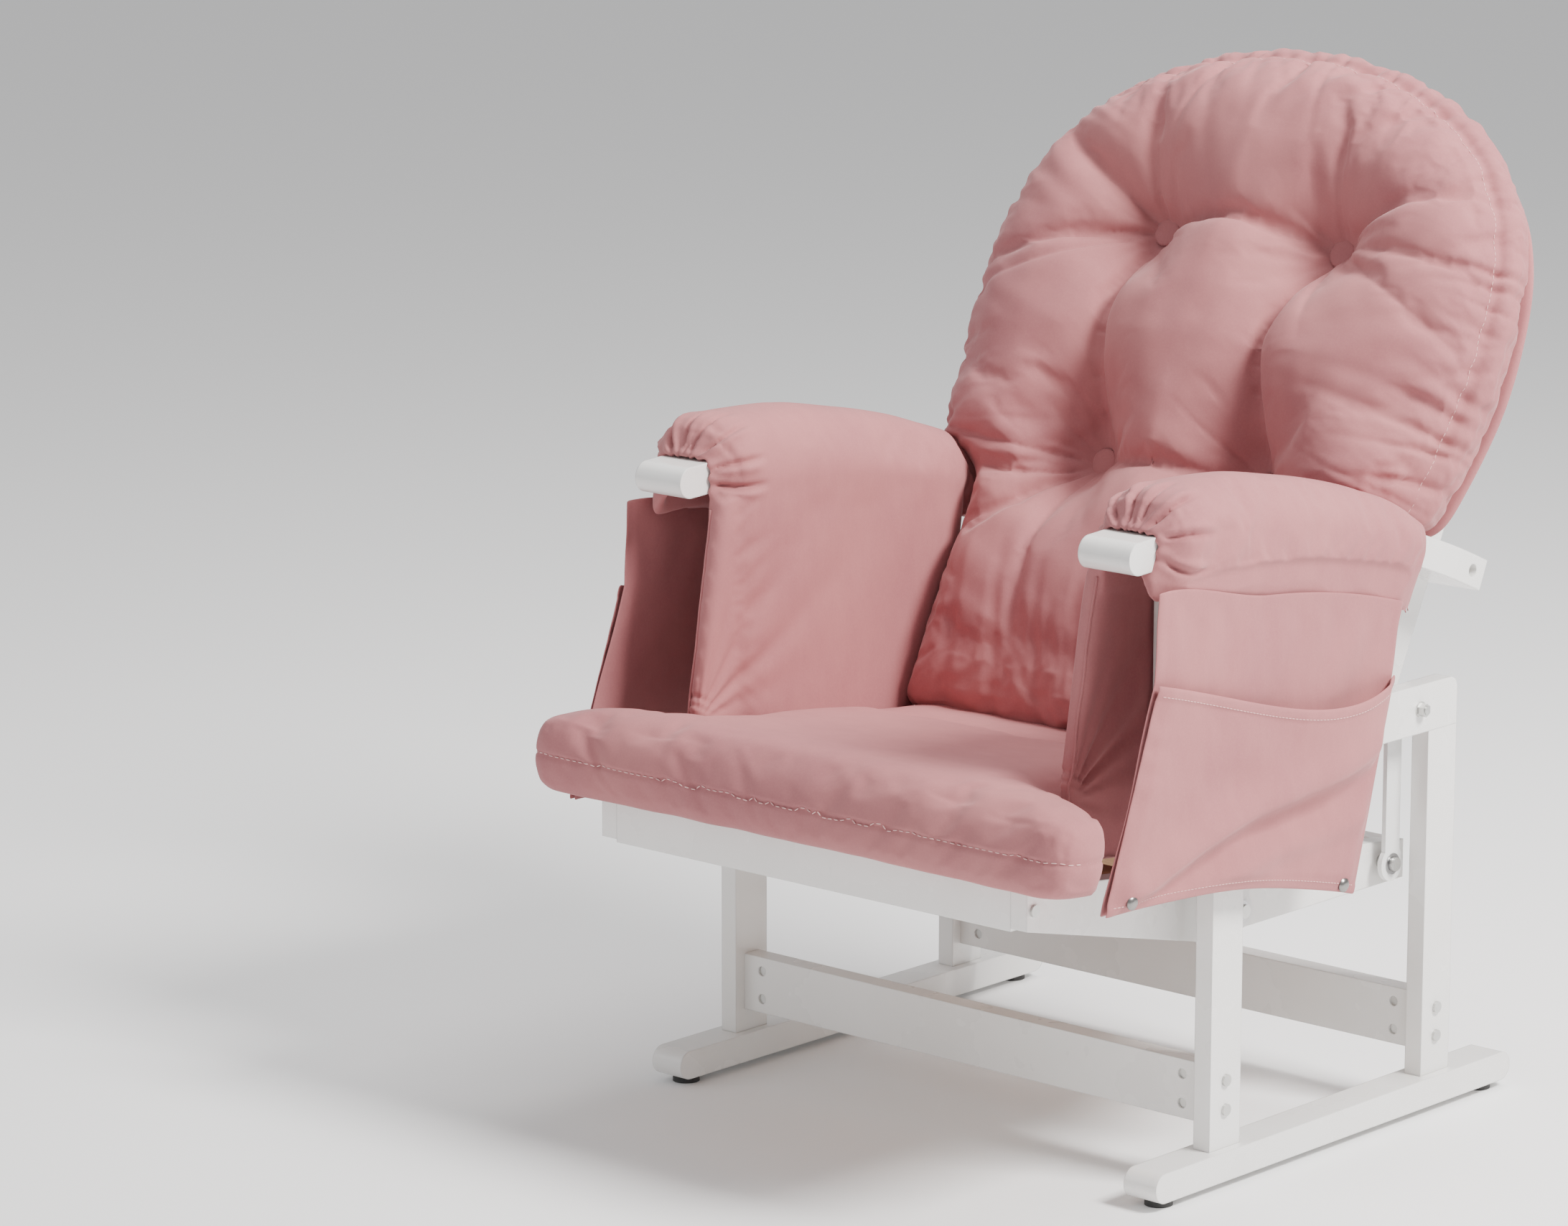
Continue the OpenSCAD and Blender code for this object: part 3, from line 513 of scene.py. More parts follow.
def dress(obj, look, slotName, *nodes):
    obj.data.materials.clear()
    obj.data.materials.append(look)
    smoothShade(obj)
    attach(obj, "seat")
    if nodes:
        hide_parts(*nodes)
    return obj


# camera, floor and lights

view = {"azimuth": math.radians(42), "elevation": math.radians(12), "distance": 6.136, "lens": 132.0,
        "target": (-0.402, 0.0, 0.4445)}


def makeCamera():
    data = bpy.data.cameras.new("camera")
    data.lens = view["lens"]
    data.sensor_width = 36.0
    data.clip_end = 100.0
    cam = bpy.data.objects.new("camera", data)
    scene.collection.objects.link(cam)
    a, e, d = view["azimuth"], view["elevation"], view["distance"]
    x, y, z = view["target"]
    flat = d * math.cos(e)
    cam.location = (x + flat * math.sin(a), y + lineY - flat * math.cos(a), z + d * math.sin(e))
    cam.rotation_euler = (math.pi / 2 - e, 0, a)
    scene.camera = cam


studio = {"floorTone": (0.95, 0.95, 0.95, 1), "worldTone": (0.99, 0.99, 1.0, 1), "worldStrength": 0.60}


def makeFloor():
    size = 30.0
    mesh = bpy.data.meshes.new("floor")
    mesh.from_pydata([(-size, -size, 0), (size, -size, 0), (size, size, 0), (-size, size, 0)], [], [(0, 1, 2, 3)])
    obj = bpy.data.objects.new("floor", mesh)
    scene.collection.objects.link(obj)
    s = Shader("paleFloor")
    s.setSurface(**{"Base Color": studio["floorTone"], "Roughness": 0.9, "Specular IOR Level": 0.1})
    mesh.materials.append(s.material)


def makeLight(name, place, aim, size, power, tone):
    data = bpy.data.lights.new(name, "AREA")
    data.shape = "RECTANGLE"
    data.size, data.size_y = size
    data.energy = power
    data.color = tone
    lamp = bpy.data.objects.new(name, data)
    scene.collection.objects.link(lamp)
    lamp.location = place
    lamp.rotation_euler = (Vector(aim) - Vector(place)).to_track_quat("-Z", "Y").to_euler()


def makeWorld():
    world = bpy.data.worlds.new("studio")
    world.use_nodes = True
    world.node_tree.nodes["Background"].inputs["Color"].default_value = studio["worldTone"]
    world.node_tree.nodes["Background"].inputs["Strength"].default_value = studio["worldStrength"]
    scene.world = world


print("camera and studio")
makeCamera()
makeFloor()
makeWorld()
makeLight("key", (2.6, 0.45, 3.1), (0, 0, 0.55), (1.1, 1.1), 280.0, (1.0, 0.975, 0.95))
makeLight("fill", (-2.8, -3.4, 2.0), (0, 0, 0.5), (2.6, 2.2), 22.0, (0.97, 0.97, 1.0))
makeLight("top", (0.2, 0.9, 3.6), (0, 0.1, 0.6), (2.0, 2.0), 85.0, (1.0, 0.99, 0.98))


# back cushion

backPad = {
    "halfWidth": 0.342, "shoulderS": 0.40, "length": 0.728, "neckWidth": 0.2312, "neckS": 0.224,
    "middleS": 0.36, "belly": 0.066, "seam": 0.004, "rear": -0.064, "seamShare": 0.955,
    "buttons": [(0.107, 0.251), (0.114, 0.507)],
    "tuftReach": 0.060, "voxel": 0.0058,
}
backCloth = {"pressure": 3.0, "shrink": -0.04, "stiffness": 12, "bending": 0.3, "frames": 16, "cap": 0.016}


def backHalfWidth(s):
    up = np.clip((s - backPad["shoulderS"]) / (backPad["length"] - backPad["shoulderS"]), 0, 1)
    down = np.clip((backPad["shoulderS"] - s) / 0.171, 0, 2)
    wide = backPad["halfWidth"] * np.sqrt(np.clip(1 - up ** 2.8, 0, 1)) - 0.036 * down ** 1.6
    neck = smoothStep(backPad["neckS"] - 0.020, backPad["neckS"] + 0.014, s)
    return backPad["neckWidth"] * (1 - neck) + wide * neck


# the cushion's outline as (x, s), evenly spaced, from the middle of its foot round to the right
def backOutline(count):
    s = np.concatenate([np.linspace(0, 0.22, 12), np.linspace(0.225, 0.262, 14), np.linspace(0.27, 0.6, 30),
                        backPad["length"] - (backPad["length"] - 0.6) * np.linspace(1, 0, 60)[1:] ** 2])
    w = backHalfWidth(s)
    foot = np.linspace(0, w[0], 14)[:-1]
    x = np.concatenate([foot, w])
    s = np.concatenate([np.zeros(13), s])
    x = np.concatenate([x, -x[::-1][1:-1]])
    s = np.concatenate([s, s[::-1][1:-1]])
    x, s = np.append(x, x[0]), np.append(s, s[0])
    run = np.concatenate([[0], np.cumsum(np.hypot(np.diff(x), np.diff(s)))])
    at = np.linspace(0, run[-1], count, endpoint=False)
    x, s = np.interp(at, run, x), np.interp(at, run, s)
    for _ in range(3):
        x = (np.roll(x, 1) + 2 * x + np.roll(x, -1)) / 4
        s = (np.roll(s, 1) + 2 * s + np.roll(s, -1)) / 4
    return x, s


# leans the cushion's foot on to the sloping seat
def footShear(s, n):
    return s - (0.053 + 0.385 * n) * (1 - smoothStep(-0.02, 0.20, s))


def backButtons():
    return [(side * x, s) for x, s in backPad["buttons"] for side in (-1, 1)]


# where the cushion folds: the line in (x, s), its depth at each end, and its width left and right of the line
def backFolds():
    (lx, ls), (ux, us) = backPad["buttons"]
    upLeft, upRight, lowLeft, lowRight = (-ux, us), (ux, us), (-lx, ls), (lx, ls)
    return [
        (bend(upLeft, (-0.040, 0.522), (0.035, 0.518), upRight), 0.026, 0.026, 0.030, 0.011),
        (bend(upRight, (0.100, 0.456), (0.085, 0.415), (0.086, 0.380), (0.095, 0.335), lowRight),
         0.030, 0.034, 0.011, 0.032),
        (bend(upLeft, (-0.126, 0.442), (-0.126, 0.389), (-0.113, 0.330), lowLeft), 0.028, 0.036, 0.022, 0.026),
        (bend(lowLeft, (0.0, 0.243), lowRight), 0.018, 0.018, 0.016, 0.022),
        (bend(upLeft, (-0.152, 0.530), (-0.205, 0.565), (-0.262, 0.606)), 0.024, 0.010, 0.010, 0.022),
        (bend(upLeft, (-0.124, 0.564), (-0.134, 0.625)), 0.022, 0.001, 0.017, 0.013),
        (bend(upLeft, (-0.200, 0.478), (-0.312, 0.438)), 0.020, 0.006, 0.016, 0.009),
        (bend(upLeft, (-0.199, 0.452), (-0.310, 0.408)), 0.014, 0.004, 0.008, 0.012),
        (bend(upRight, (0.113, 0.573), (0.112, 0.632)), 0.020, 0.001, 0.018, 0.015),
        (bend(upRight, (0.158, 0.540), (0.235, 0.562), (0.305, 0.580)), 0.028, 0.007, 0.024, 0.009),
        (bend(upRight, (0.230, 0.500), (0.322, 0.487)), 0.012, 0.005, 0.010, 0.009),
        (bend(upRight, (0.226, 0.459), (0.314, 0.408)), 0.012, 0.005, 0.010, 0.014),
        (bend(upRight, (0.126, 0.450), (0.150, 0.380)), 0.012, 0.000, 0.010, 0.012),
        (bend(lowLeft, (-0.145, 0.216), (-0.262, 0.212)), 0.022, 0.018, 0.010, 0.012),
        (bend(lowLeft, (-0.180, 0.238), (-0.300, 0.252)), 0.016, 0.010, 0.010, 0.012),
        (bend(lowLeft, (-0.138, 0.200), (-0.165, 0.168), (-0.222, 0.140)), 0.026, 0.012, 0.012, 0.018),
        (bend(lowRight, (0.207, 0.246), (0.300, 0.240)), 0.018, 0.010, 0.012, 0.012),
        (bend(lowRight, (0.140, 0.198), (0.170, 0.165), (0.222, 0.142)), 0.026, 0.010, 0.018, 0.012),
        (bend(lowRight, (0.085, 0.330), (0.062, 0.385)), 0.012, 0.000, 0.006, 0.010),
        (bend(lowRight, (0.070, 0.305), (0.034, 0.352)), 0.012, 0.000, 0.006, 0.010),
        (bend(lowRight, (0.058, 0.282), (0.008, 0.316)), 0.009, 0.000, 0.006, 0.009),
        (bend(lowLeft, (-0.110, 0.170), (-0.085, 0.060)), 0.015, 0.004, 0.016, 0.014),
        (bend(lowRight, (0.108, 0.170), (0.085, 0.060)), 0.015, 0.004, 0.014, 0.016),
    ]


def foldDepth(px, ps, folds, widthScale=1.0, power=1.2):
    depth = np.zeros(len(px))
    for line, first, last, left, right in folds:
        gap, share = alongLine(px, ps, line)
        width = np.where(gap > 0, left, right) * widthScale * (0.7 + 0.6 * share)
        depth = np.maximum(depth, (first * (1 - share) + last * share) * np.exp(-(np.abs(gap) / width) ** power))
    return depth


def tuftDepth(px, ps, height, reach):
    weight = np.zeros(len(px))
    for bx, bs in backButtons():
        weight = np.maximum(weight, np.exp(-(np.hypot(px - bx, ps - bs) / reach) ** 1.25))
    return (height - 0.003) * weight


# share of the way from the middle to the outline, and place round it, of a point
def aroundBack(px, ps):
    ox, os_ = backOutline(720)
    angles = np.arctan2(ox, -(os_ - backPad["middleS"]))
    order = np.argsort(angles)
    angles, radii = angles[order], np.hypot(ox, os_ - backPad["middleS"])[order]
    mine = np.arctan2(px, -(ps - backPad["middleS"]))
    reach = np.interp(mine, angles, radii, period=2 * math.pi)
    place = np.interp(mine, angles, np.linspace(0, 1, len(angles)))
    return np.hypot(px, ps - backPad["middleS"]) / reach, place, reach


def makeBackPad():
    ox, os_ = backOutline(240)
    sc = backPad["middleS"]
    seamAt = backPad["seamShare"]
    rings = []
    lowPart = 1 - smoothStep(0.20, 0.34, os_)      # full and square between the arms, rounder above them
    for r in np.linspace(0.03, 1.0, 40):
        share = r * (seamAt + (0.99 - seamAt) * lowPart)
        full = 1 - r ** (3.6 + 6.0 * lowPart)
        lift = backPad["belly"] + 0.018 * (1 - smoothStep(0.05, 0.40, sc + (os_ - sc) * r)) - backPad["seam"]
        n = backPad["seam"] + lift * np.maximum(full, 0) ** (0.52 - 0.07 * lowPart)
        x, s = ox * share, sc + (os_ - sc) * share
        n = n - (tuftDepth(x, s, n, backPad["tuftReach"]) + 0.7 * foldDepth(x, s, backFolds(), 1.5)) * (1 - r ** 6)
        rings.append(fromBack(x, footShear(s, n), n))
    for share, n in ((0.985, -0.006), (0.995, -0.016), (0.985, -0.030), (0.955, -0.046), (0.91, -0.058),
                     (0.86, backPad["rear"]), (0.6, backPad["rear"]), (0.25, backPad["rear"])):
        x, s = ox * share, sc + (os_ - sc) * share
        depth = np.full(len(x), n)
        rings.append(fromBack(x, footShear(s, depth), depth))
    obj = loftRings("backCushion", [ring.tolist() for ring in rings])
    modify(obj, "REMESH", mode="VOXEL", voxel_size=backPad["voxel"], use_smooth_shade=True)
    px, ps, pn = toBack(getPoints(obj))
    hold = np.zeros(len(px))
    for bx, bs in backButtons():
        hold = np.maximum(hold, 1 - smoothStep(0.012, 0.030, np.hypot(px - bx, ps - bs)))
    hold = np.where(pn > -0.02, hold, 0)
    hold = np.maximum(hold, 1 - smoothStep(-0.060, -0.050, pn))
    share, _, reach = aroundBack(px, ps)
    seamGap = np.abs(share - seamAt) * reach
    hold = np.maximum(hold, 0.85 * (1 - smoothStep(0.004, 0.014, seamGap)) * (pn > -0.03))
    stuff(obj, hold, backCloth)
    modify(obj, "SUBSURF", levels=1, render_levels=1)
    creaseBack(obj)
    return dress(obj, suedeLook, "rose_suede", "back_cushion")


# the folds that run out of the buttons and the puckers along the seam
def creaseBack(obj):
    rng = random.Random(11)
    points, normals = getPoints(obj), getNormals(obj)
    px, ps, pn = toBack(points)
    share, place, reach = aroundBack(px, ps)
    front = smoothStep(-0.02, 0.01, pn)
    inside = 1 - smoothStep(0.90, 0.97, share)
    move = -0.32 * foldDepth(px, ps, backFolds(), 0.42, 1.0) * front * inside
    thin = []
    for bx, bs in backButtons():
        for k in range(15):
            way = rng.uniform(0, 2 * math.pi)
            long = rng.uniform(0.030, 0.085)
            turn = rng.uniform(-0.35, 0.35)
            mid = (bx + 0.55 * long * math.cos(way), bs + 0.55 * long * math.sin(way))
            tip = (bx + long * math.cos(way + turn), bs + long * math.sin(way + turn))
            wide = rng.uniform(0.0030, 0.0055)
            thin.append((bend((bx, bs), mid, tip, steps=7), rng.uniform(0.0025, 0.0060), 0.0, wide, wide * 1.6))
    move -= foldDepth(px, ps, thin, 1.0, 1.3) * front * inside
    girth = 2.3      # metres round the seam
    seamGap = (share - backPad["seamShare"]) * reach
    pucker = np.zeros(len(px))
    for k in range(104):
        at = (k + rng.uniform(-0.4, 0.4)) / 104
        slant = rng.uniform(-0.8, 0.8)
        inward = rng.choice([0.014, 0.022, 0.030, 0.045, 0.070]) * rng.uniform(0.8, 1.2)
        deep = rng.uniform(0.0022, 0.0078)
        wide = rng.uniform(0.0030, 0.0080)
        side = ((place - at + 0.5) % 1 - 0.5) * girth - slant * seamGap
        length = np.where(seamGap < 0, inward, 0.016)
        pucker += deep * np.exp(-(side / (wide * (1 + np.abs(seamGap) * 12))) ** 2) * np.exp(-np.abs(seamGap) / length)
    near = smoothStep(-0.055, -0.02, pn) * smoothStep(0.20, 0.27, ps)
    move -= pucker * near * smoothStep(-0.30, -0.02, seamGap + 0.06)
    move -= 0.0034 * np.exp(-(seamGap / 0.0035) ** 2) * smoothStep(-0.03, -0.005, pn) * smoothStep(0.20, 0.27, ps)
    # long loose wrinkles between the tufts and the sides
    wave = softNoise(np.stack([px * 5.0 + ps * 2.0, ps * 19.0 - np.abs(px) * 9.0, pn * 0], -1), 1.0, 3)
    move += 0.0042 * wave * front * smoothStep(0.45, 0.75, share) * (1 - smoothStep(0.85, 0.97, share))
    move += 0.0018 * softNoise(points, 26.0, 5) * front
    # upright slack folds near the foot
    foot = np.sin(px * 95 + 2.2 * np.sin(ps * 12 + px * 9) + 0.6) * smoothStep(0.25, 0.0, ps) * front
    move -= 0.0030 * np.maximum(foot, 0) ** 2
    points = points + normals * move[:, None]
    px, ps, pn = toBack(points)
    squeeze = 1 - smoothStep(0.192, 0.236, ps + 0.2 * pn)
    points[:, 0] = points[:, 0] * (1 - squeeze) + np.clip(points[:, 0], -0.2319, 0.2319) * squeeze
    setPoints(obj, points)


buttonSet = {"radius": 0.0150, "height": 0.0030, "pleats": 30, "sink": -0.0012}


# how deep the finished cushion lies round a button
def tuftFloor(tree, bx, bs):
    inward = Vector((0, cosR, -sinR))
    depths = []
    for turn in np.linspace(0, 2 * math.pi, 16, endpoint=False):
        r = 0.9 * buttonSet["radius"]
        start = fromBack(bx + r * math.cos(turn), bs + r * math.sin(turn), 0.2)
        spot = tree.ray_cast(Vector(start), inward)[0]
        depths.append(toBack(np.array([spot]))[2][0])
    return float(np.percentile(depths, 45))


def makeButtons(cushion):
    tree = treeOf(cushion)
    parts = []
    rng = random.Random(4)
    for k, (bx, bs) in enumerate(backButtons()):
        rings = []
        turns = np.linspace(0, 2 * math.pi, 88, endpoint=False)
        spin = rng.uniform(0, 1)
        floor = tuftFloor(tree, bx, bs)
        for share, rise in ((0.80, -0.40), (0.98, -0.05), (1.03, 0.25), (1.0, 0.55), (0.92, 0.78), (0.76, 0.90),
                            (0.5, 0.97), (0.22, 1.0)):
            ruffle = 1 + 0.045 * np.cos(turns * buttonSet["pleats"] + spin) * math.exp(-((share - 1.0) / 0.12) ** 2)
            r = buttonSet["radius"] * share * ruffle
            n = floor + buttonSet["sink"] + buttonSet["height"] * rise
            rings.append(fromBack(bx + r * np.cos(turns), bs + r * np.sin(turns), np.full(88, n)).tolist())
        parts.append(loftRings("button%d" % k, rings))
    obj = joinInto("backButtons", parts)
    return dress(obj, suedeLook, "rose_suede", "back_buttons")


print("back cushion")
backCushion = makeBackPad()
makeButtons(backCushion)


# seat cushion

seatPad = {
    "frontR": 0.060, "earHalf": 0.350, "earBack": 0.066, "bodyHalf": 0.229, "neckY": 0.122, "length": 0.536,
    "thick": 0.074, "slope": math.radians(6), "crown": 0.010, "edge": 0.024, "voxel": 0.0065, "middle": 0.22,
}
seatCloth = {"pressure": 2.2, "shrink": -0.02, "stiffness": 15, "bending": 0.6, "frames": 14, "cap": 0.010}
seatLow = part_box("seat_cushion")[0]
seatFrontZ = 0.3434 + 0.001


def roundCorner(corner, before, after, radius, steps=8):
    c, b, a = (np.array(p, float) for p in (corner, before, after))
    u, v = (b - c) / np.linalg.norm(b - c), (a - c) / np.linalg.norm(a - c)
    half = math.acos(float(np.clip(np.dot(u, v), -1, 1))) / 2
    cut = min(radius / math.tan(half), 0.49 * np.linalg.norm(b - c), 0.49 * np.linalg.norm(a - c))
    start, end = c + u * cut, c + v * cut
    return [tuple((1 - t) ** 2 * start + 2 * t * (1 - t) * c + t * t * end) for t in np.linspace(0, 1, steps)]


def roundedLoop(corners, count):
    loop = []
    for i, (x, y, r) in enumerate(corners):
        before, after = corners[i - 1][:2], corners[(i + 1) % len(corners)][:2]
        loop += roundCorner((x, y), before, after, r)
    loop = np.array(loop + [loop[0]])
    run = np.concatenate([[0], np.cumsum(np.hypot(*np.diff(loop, axis=0).T))])
    at = np.linspace(0, run[-1], count, endpoint=False)
    return np.interp(at, run, loop[:, 0]), np.interp(at, run, loop[:, 1])


# outline as (x, distance behind the front edge)
def seatOutline(count):
    p = seatPad
    right = [(p["earHalf"], 0.0, p["frontR"]), (p["earHalf"], p["earBack"], 0.026),
             (p["bodyHalf"], p["neckY"], 0.030), (p["bodyHalf"], p["length"], 0.030)]
    left = [(-x, y, r) for x, y, r in reversed(right)]
    return roundedLoop(right + left, count)


# turns the seat's own plane down to the back
def fromSeat(x, y, z):
    c, s = math.cos(seatPad["slope"]), math.sin(seatPad["slope"])
    return np.stack([x, seatLow[1] + y * c + z * s, seatFrontZ - y * s + z * c], -1)


def toSeat(points):
    c, s = math.cos(seatPad["slope"]), math.sin(seatPad["slope"])
    y, z = points[:, 1] - seatLow[1], points[:, 2] - seatFrontZ
    return points[:, 0], y * c - z * s, y * s + z * c


def makeSeatPad():
    p = seatPad
    ox, oy = seatOutline(280)
    hub = p["middle"]
    size = np.hypot(ox, oy - hub)
    rings = []
    profile = []
    half = p["thick"] / 2
    for a in np.linspace(-90, 90, 17):
        t = math.radians(a)
        inward = p["edge"] * (1 - abs(math.cos(t)) ** 0.75)
        profile.append((inward, half + half * math.copysign(abs(math.sin(t)) ** 0.82, t)))
    crown = [(0.06, p["thick"] + 0.004), (0.12, p["thick"] + 0.008), (0.22, p["thick"] + p["crown"])]
    body = [(0.45, 0.0), (0.10, 0.0)] + profile + crown
    for inward, z in body:
        if inward > 0.04:
            share = np.full(len(ox), 1 - inward / 0.25 if inward > 0.2 else 1 - inward / 0.5)
            share = np.clip(share, 0.12, 1)
        else:
            share = 1 - inward / size
        rings.append(fromSeat(ox * share, hub + (oy - hub) * share, np.full(len(ox), z)).tolist())
    obj = loftRings("seatCushion", rings)
    modify(obj, "REMESH", mode="VOXEL", voxel_size=p["voxel"], use_smooth_shade=True)
    _, py, pz = toSeat(getPoints(obj))
    hold = 1 - smoothStep(0.004, 0.014, pz)
    hold = np.maximum(hold, smoothStep(0.30, 0.42, py) * 0.9)
    stuff(obj, hold, seatCloth)
    modify(obj, "SUBSURF", levels=1, render_levels=1)
    creaseSeat(obj)
    return dress(obj, suedeLook, "rose_suede", "seat_cushion")


# seam at half height, and gathers where it turns the front corners
def creaseSeat(obj):
    rng = random.Random(23)
    points, normals = getPoints(obj), getNormals(obj)
    px, py, pz = toSeat(points)
    side = 1 - np.abs(normals[:, 2])
    seamZ = seatPad["thick"] / 2
    move = -0.0022 * np.exp(-((pz - seamZ) / 0.0022) ** 2) * smoothStep(0.3, 0.8, side)
    for sign in (-1, 1):
        angle = np.arctan2(px * sign - (seatPad["earHalf"] - 0.06), -(py - 0.06))
        corner = smoothStep(0.20, 0.36, np.hypot(px * sign - 0.24, py - 0.14)) * (px * sign > 0.24)
        for _ in range(20):
            at = rng.uniform(-0.15, 1.9)
            deep = rng.uniform(0.0014, 0.0044) * math.exp(-((at - 0.9) / 0.75) ** 2)
            wide = rng.uniform(0.035, 0.075)
            long = rng.uniform(0.010, 0.024)
            lean = rng.uniform(-4, 4)
            gap = np.abs(pz - seamZ)
            turn = angle - at - lean * (pz - seamZ)
            move -= deep * np.exp(-(turn / wide) ** 2) * np.exp(-gap / long) * corner * smoothStep(0.1, 0.5, side)
    along = softNoise(np.stack([px * 60, py * 60, pz * 14], -1), 1.0, 9)
    move += 0.0009 * along * np.exp(-np.abs(pz - seamZ) / 0.014) * smoothStep(0.3, 0.8, side)
    # the top lies in soft shallow waves
    top = smoothStep(0.6, 0.95, normals[:, 2])
    move += 0.0016 * softNoise(np.stack([px * 3.2, py * 7.0, pz * 0], -1), 1.0, 14) * top
    move += 0.0009 * softNoise(points, 24.0, 2)
    setPoints(obj, points + normals * move[:, None])


print("seat cushion")
seatCushion = makeSeatPad()


# arm covers

armPad = {
    "start": 0.046, "rear": 0.467, "drop": 0.045, "outer": 0.0625, "inner": -0.0575, "top": 0.054, "turnZ": -0.010,
    "frontR": 0.036, "rearR": 0.072, "clear": 0.0015, "hem": 0.009, "voxel": 0.0052,
}
armCloth = {"pressure": 2.4, "shrink": -0.03, "stiffness": 14, "bending": 0.5, "frames": 14, "cap": 0.008}
padSheet = {"thick": 0.022, "x": 0.2425, "edge": 0.010}


def onArch(h, v, y):
    r = archSetup["radius"] + v
    a = (y - archY) / archSetup["radius"]
    return np.stack([armX + h, archY + r * np.sin(a), archZ + r * np.cos(a)], -1)


# the roll's outer skin and the cavity it wraps, from the outer leg over the top to the inner leg
def rollSection(count):
    p = armPad
    turns = np.linspace(0, math.pi, count)
    mid, half = (p["outer"] + p["inner"]) / 2, (p["outer"] - p["inner"]) / 2
    power = 2 / 2.5
    h = mid + half * np.sign(np.cos(turns)) * np.abs(np.cos(turns)) ** power
    v = p["turnZ"] + (p["top"] - p["turnZ"]) * np.abs(np.sin(turns)) ** power
    legs = np.linspace(-p["drop"], p["turnZ"], 8)[:-1]
    outerLeg = np.linspace(p["outer"] - 0.0105, p["outer"] - 0.002, 7)
    outH = np.concatenate([outerLeg, h, np.full(7, p["inner"] + 0.001)])
    outV = np.concatenate([legs, v, legs[::-1]])
    cx, cv = armHalf + p["clear"], 0.016 + p["clear"]
    corner = [(cx, -p["drop"]), (cx, cv), (-cx, cv), (-cx, -p["drop"])]
    run = [0, p["drop"] + cv, p["drop"] + cv + 2 * cx, 2 * (p["drop"] + cv) + 2 * cx]
    at = np.linspace(0, run[-1], len(outH))
    inH = np.interp(at, run, [c[0] for c in corner])
    inV = np.interp(at, run, [c[1] for c in corner])
    return outH, outV, inH, inV


# the outer hem hangs lower behind the front, so that it runs nearly straight below the arched arm
def hemDrop(along):
    return 0.026 * smoothStep(0.0, 0.45, along)


def makeRoll():
    p = armPad
    outH, outV, inH, inV = rollSection(40)
    y0 = armNoseY + p["start"]
    y1 = armNoseY + p["rear"]
    stations = [(y0 - p["hem"], 0.16), (y0 - p["hem"] * 0.4, 0.19)]
    for t in np.linspace(0.04, 1, 10):
        stations.append((y0 + p["frontR"] * (1 - math.cos(t * math.pi / 2)), max(0.2, math.sin(t * math.pi / 2))))
    for y in np.linspace(y0 + p["frontR"], y1 - p["rearR"], 46)[1:]:
        stations.append((y, 1.0))
    for t in np.linspace(0, 1, 10)[1:]:
        stations.append((y1 - p["rearR"] * (1 - math.sin(t * math.pi / 2)), max(0.12, math.cos(t * math.pi / 2))))
    rings = []
    for y, full in stations:
        along = (y - y0) / (y1 - y0)
        drop = 1 - 0.30 * smoothStep(0.05, 0.95, along) * smoothStep(-0.01, 0.05, outV)
        leg = (1 - smoothStep(-0.030, 0.004, outV)) * (outH > 0) * (1 - smoothStep(0.0, 0.30, along))
        under = np.minimum(outV - p["turnZ"], 0) * (outH > 0) * hemDrop(along) / (p["drop"] + p["turnZ"])
        oh = inH + (outH - inH) * full
        ov = inV + (outV * drop - inV) * full + under
        ring = np.concatenate([onArch(oh, ov, y - 0.012 * leg), onArch(inH, inV, y)[::-1]])
        rings.append(ring.tolist())
    return loftRings("roll", rings)


# the quilted panel inside the arm, drawn as (y, z) about the reference line
def innerOutline(count):
    corners = [(-0.276, 0.640, 0.02), (-0.297, 0.531, 0.2), (-0.320, 0.417, 0.1), (-0.322, 0.342, 0.02),
               (0.002, 0.310, 0.02), (0.020, 0.369, 0.1), (0.084, 0.497, 0.2), (0.104, 0.606, 0.02)]
    return roundedLoop([(y + lineY, z, r) for y, z, r in corners], count)


def makeInnerSlab():
    oy, oz = innerOutline(200)
    hub = np.array([oy.mean(), oz.mean()])
    rings = []
    half = padSheet["thick"] / 2
    steps = [(0.55, -1.0), (0.85, -1.0)]
    for a in np.linspace(-80, 80, 9):
        t = math.radians(a)
        steps.append((1.0 - padSheet["edge"] * (1 - math.cos(t)) / 0.16, math.sin(t)))
    steps += [(0.85, 1.0), (0.55, 1.0)]
    for share, side in steps:
        x = np.full(len(oy), padSheet["x"] + half * side)
        y = hub[0] + (oy - hub[0]) * share
        z = hub[1] + (oz - hub[1]) * share
        z = np.minimum(z, archHeight(y, archSetup["radius"] - 0.022))
        rings.append(np.stack([x, y, z], -1).tolist())
    return loftRings("slab", rings)


def makeArmPad():
    obj = joinInto("armCoverRight", [makeRoll(), makeInnerSlab()])
    modify(obj, "REMESH", mode="VOXEL", voxel_size=armPad["voxel"], use_smooth_shade=True)
    modify(obj, "SMOOTH", factor=0.5, iterations=4)
    points = getPoints(obj)
    h, v, y = offArch(points)
    cavity = (np.abs(h) < armHalf + 0.007) & (v < 0.022)
    hold = np.where(cavity, 1.0, 0.0)
    hold = np.maximum(hold, 1 - smoothStep(0.002, 0.014, y - (armNoseY + armPad["start"])))
    hold = np.maximum(hold, (points[:, 0] > 0.249).astype(float) * (v < -0.022))
    stuff(obj, hold, armCloth)
    modify(obj, "SUBSURF", levels=1, render_levels=1)
    creaseArm(obj)
    dress(obj, suedeLook, "rose_suede")
    return obj


def offArch(points):
    dy, dz = points[:, 1] - archY, points[:, 2] - archZ
    r = np.hypot(dy, dz)
    return points[:, 0] - armX, r - archSetup["radius"], archY + archSetup["radius"] * np.arctan2(dy, dz)


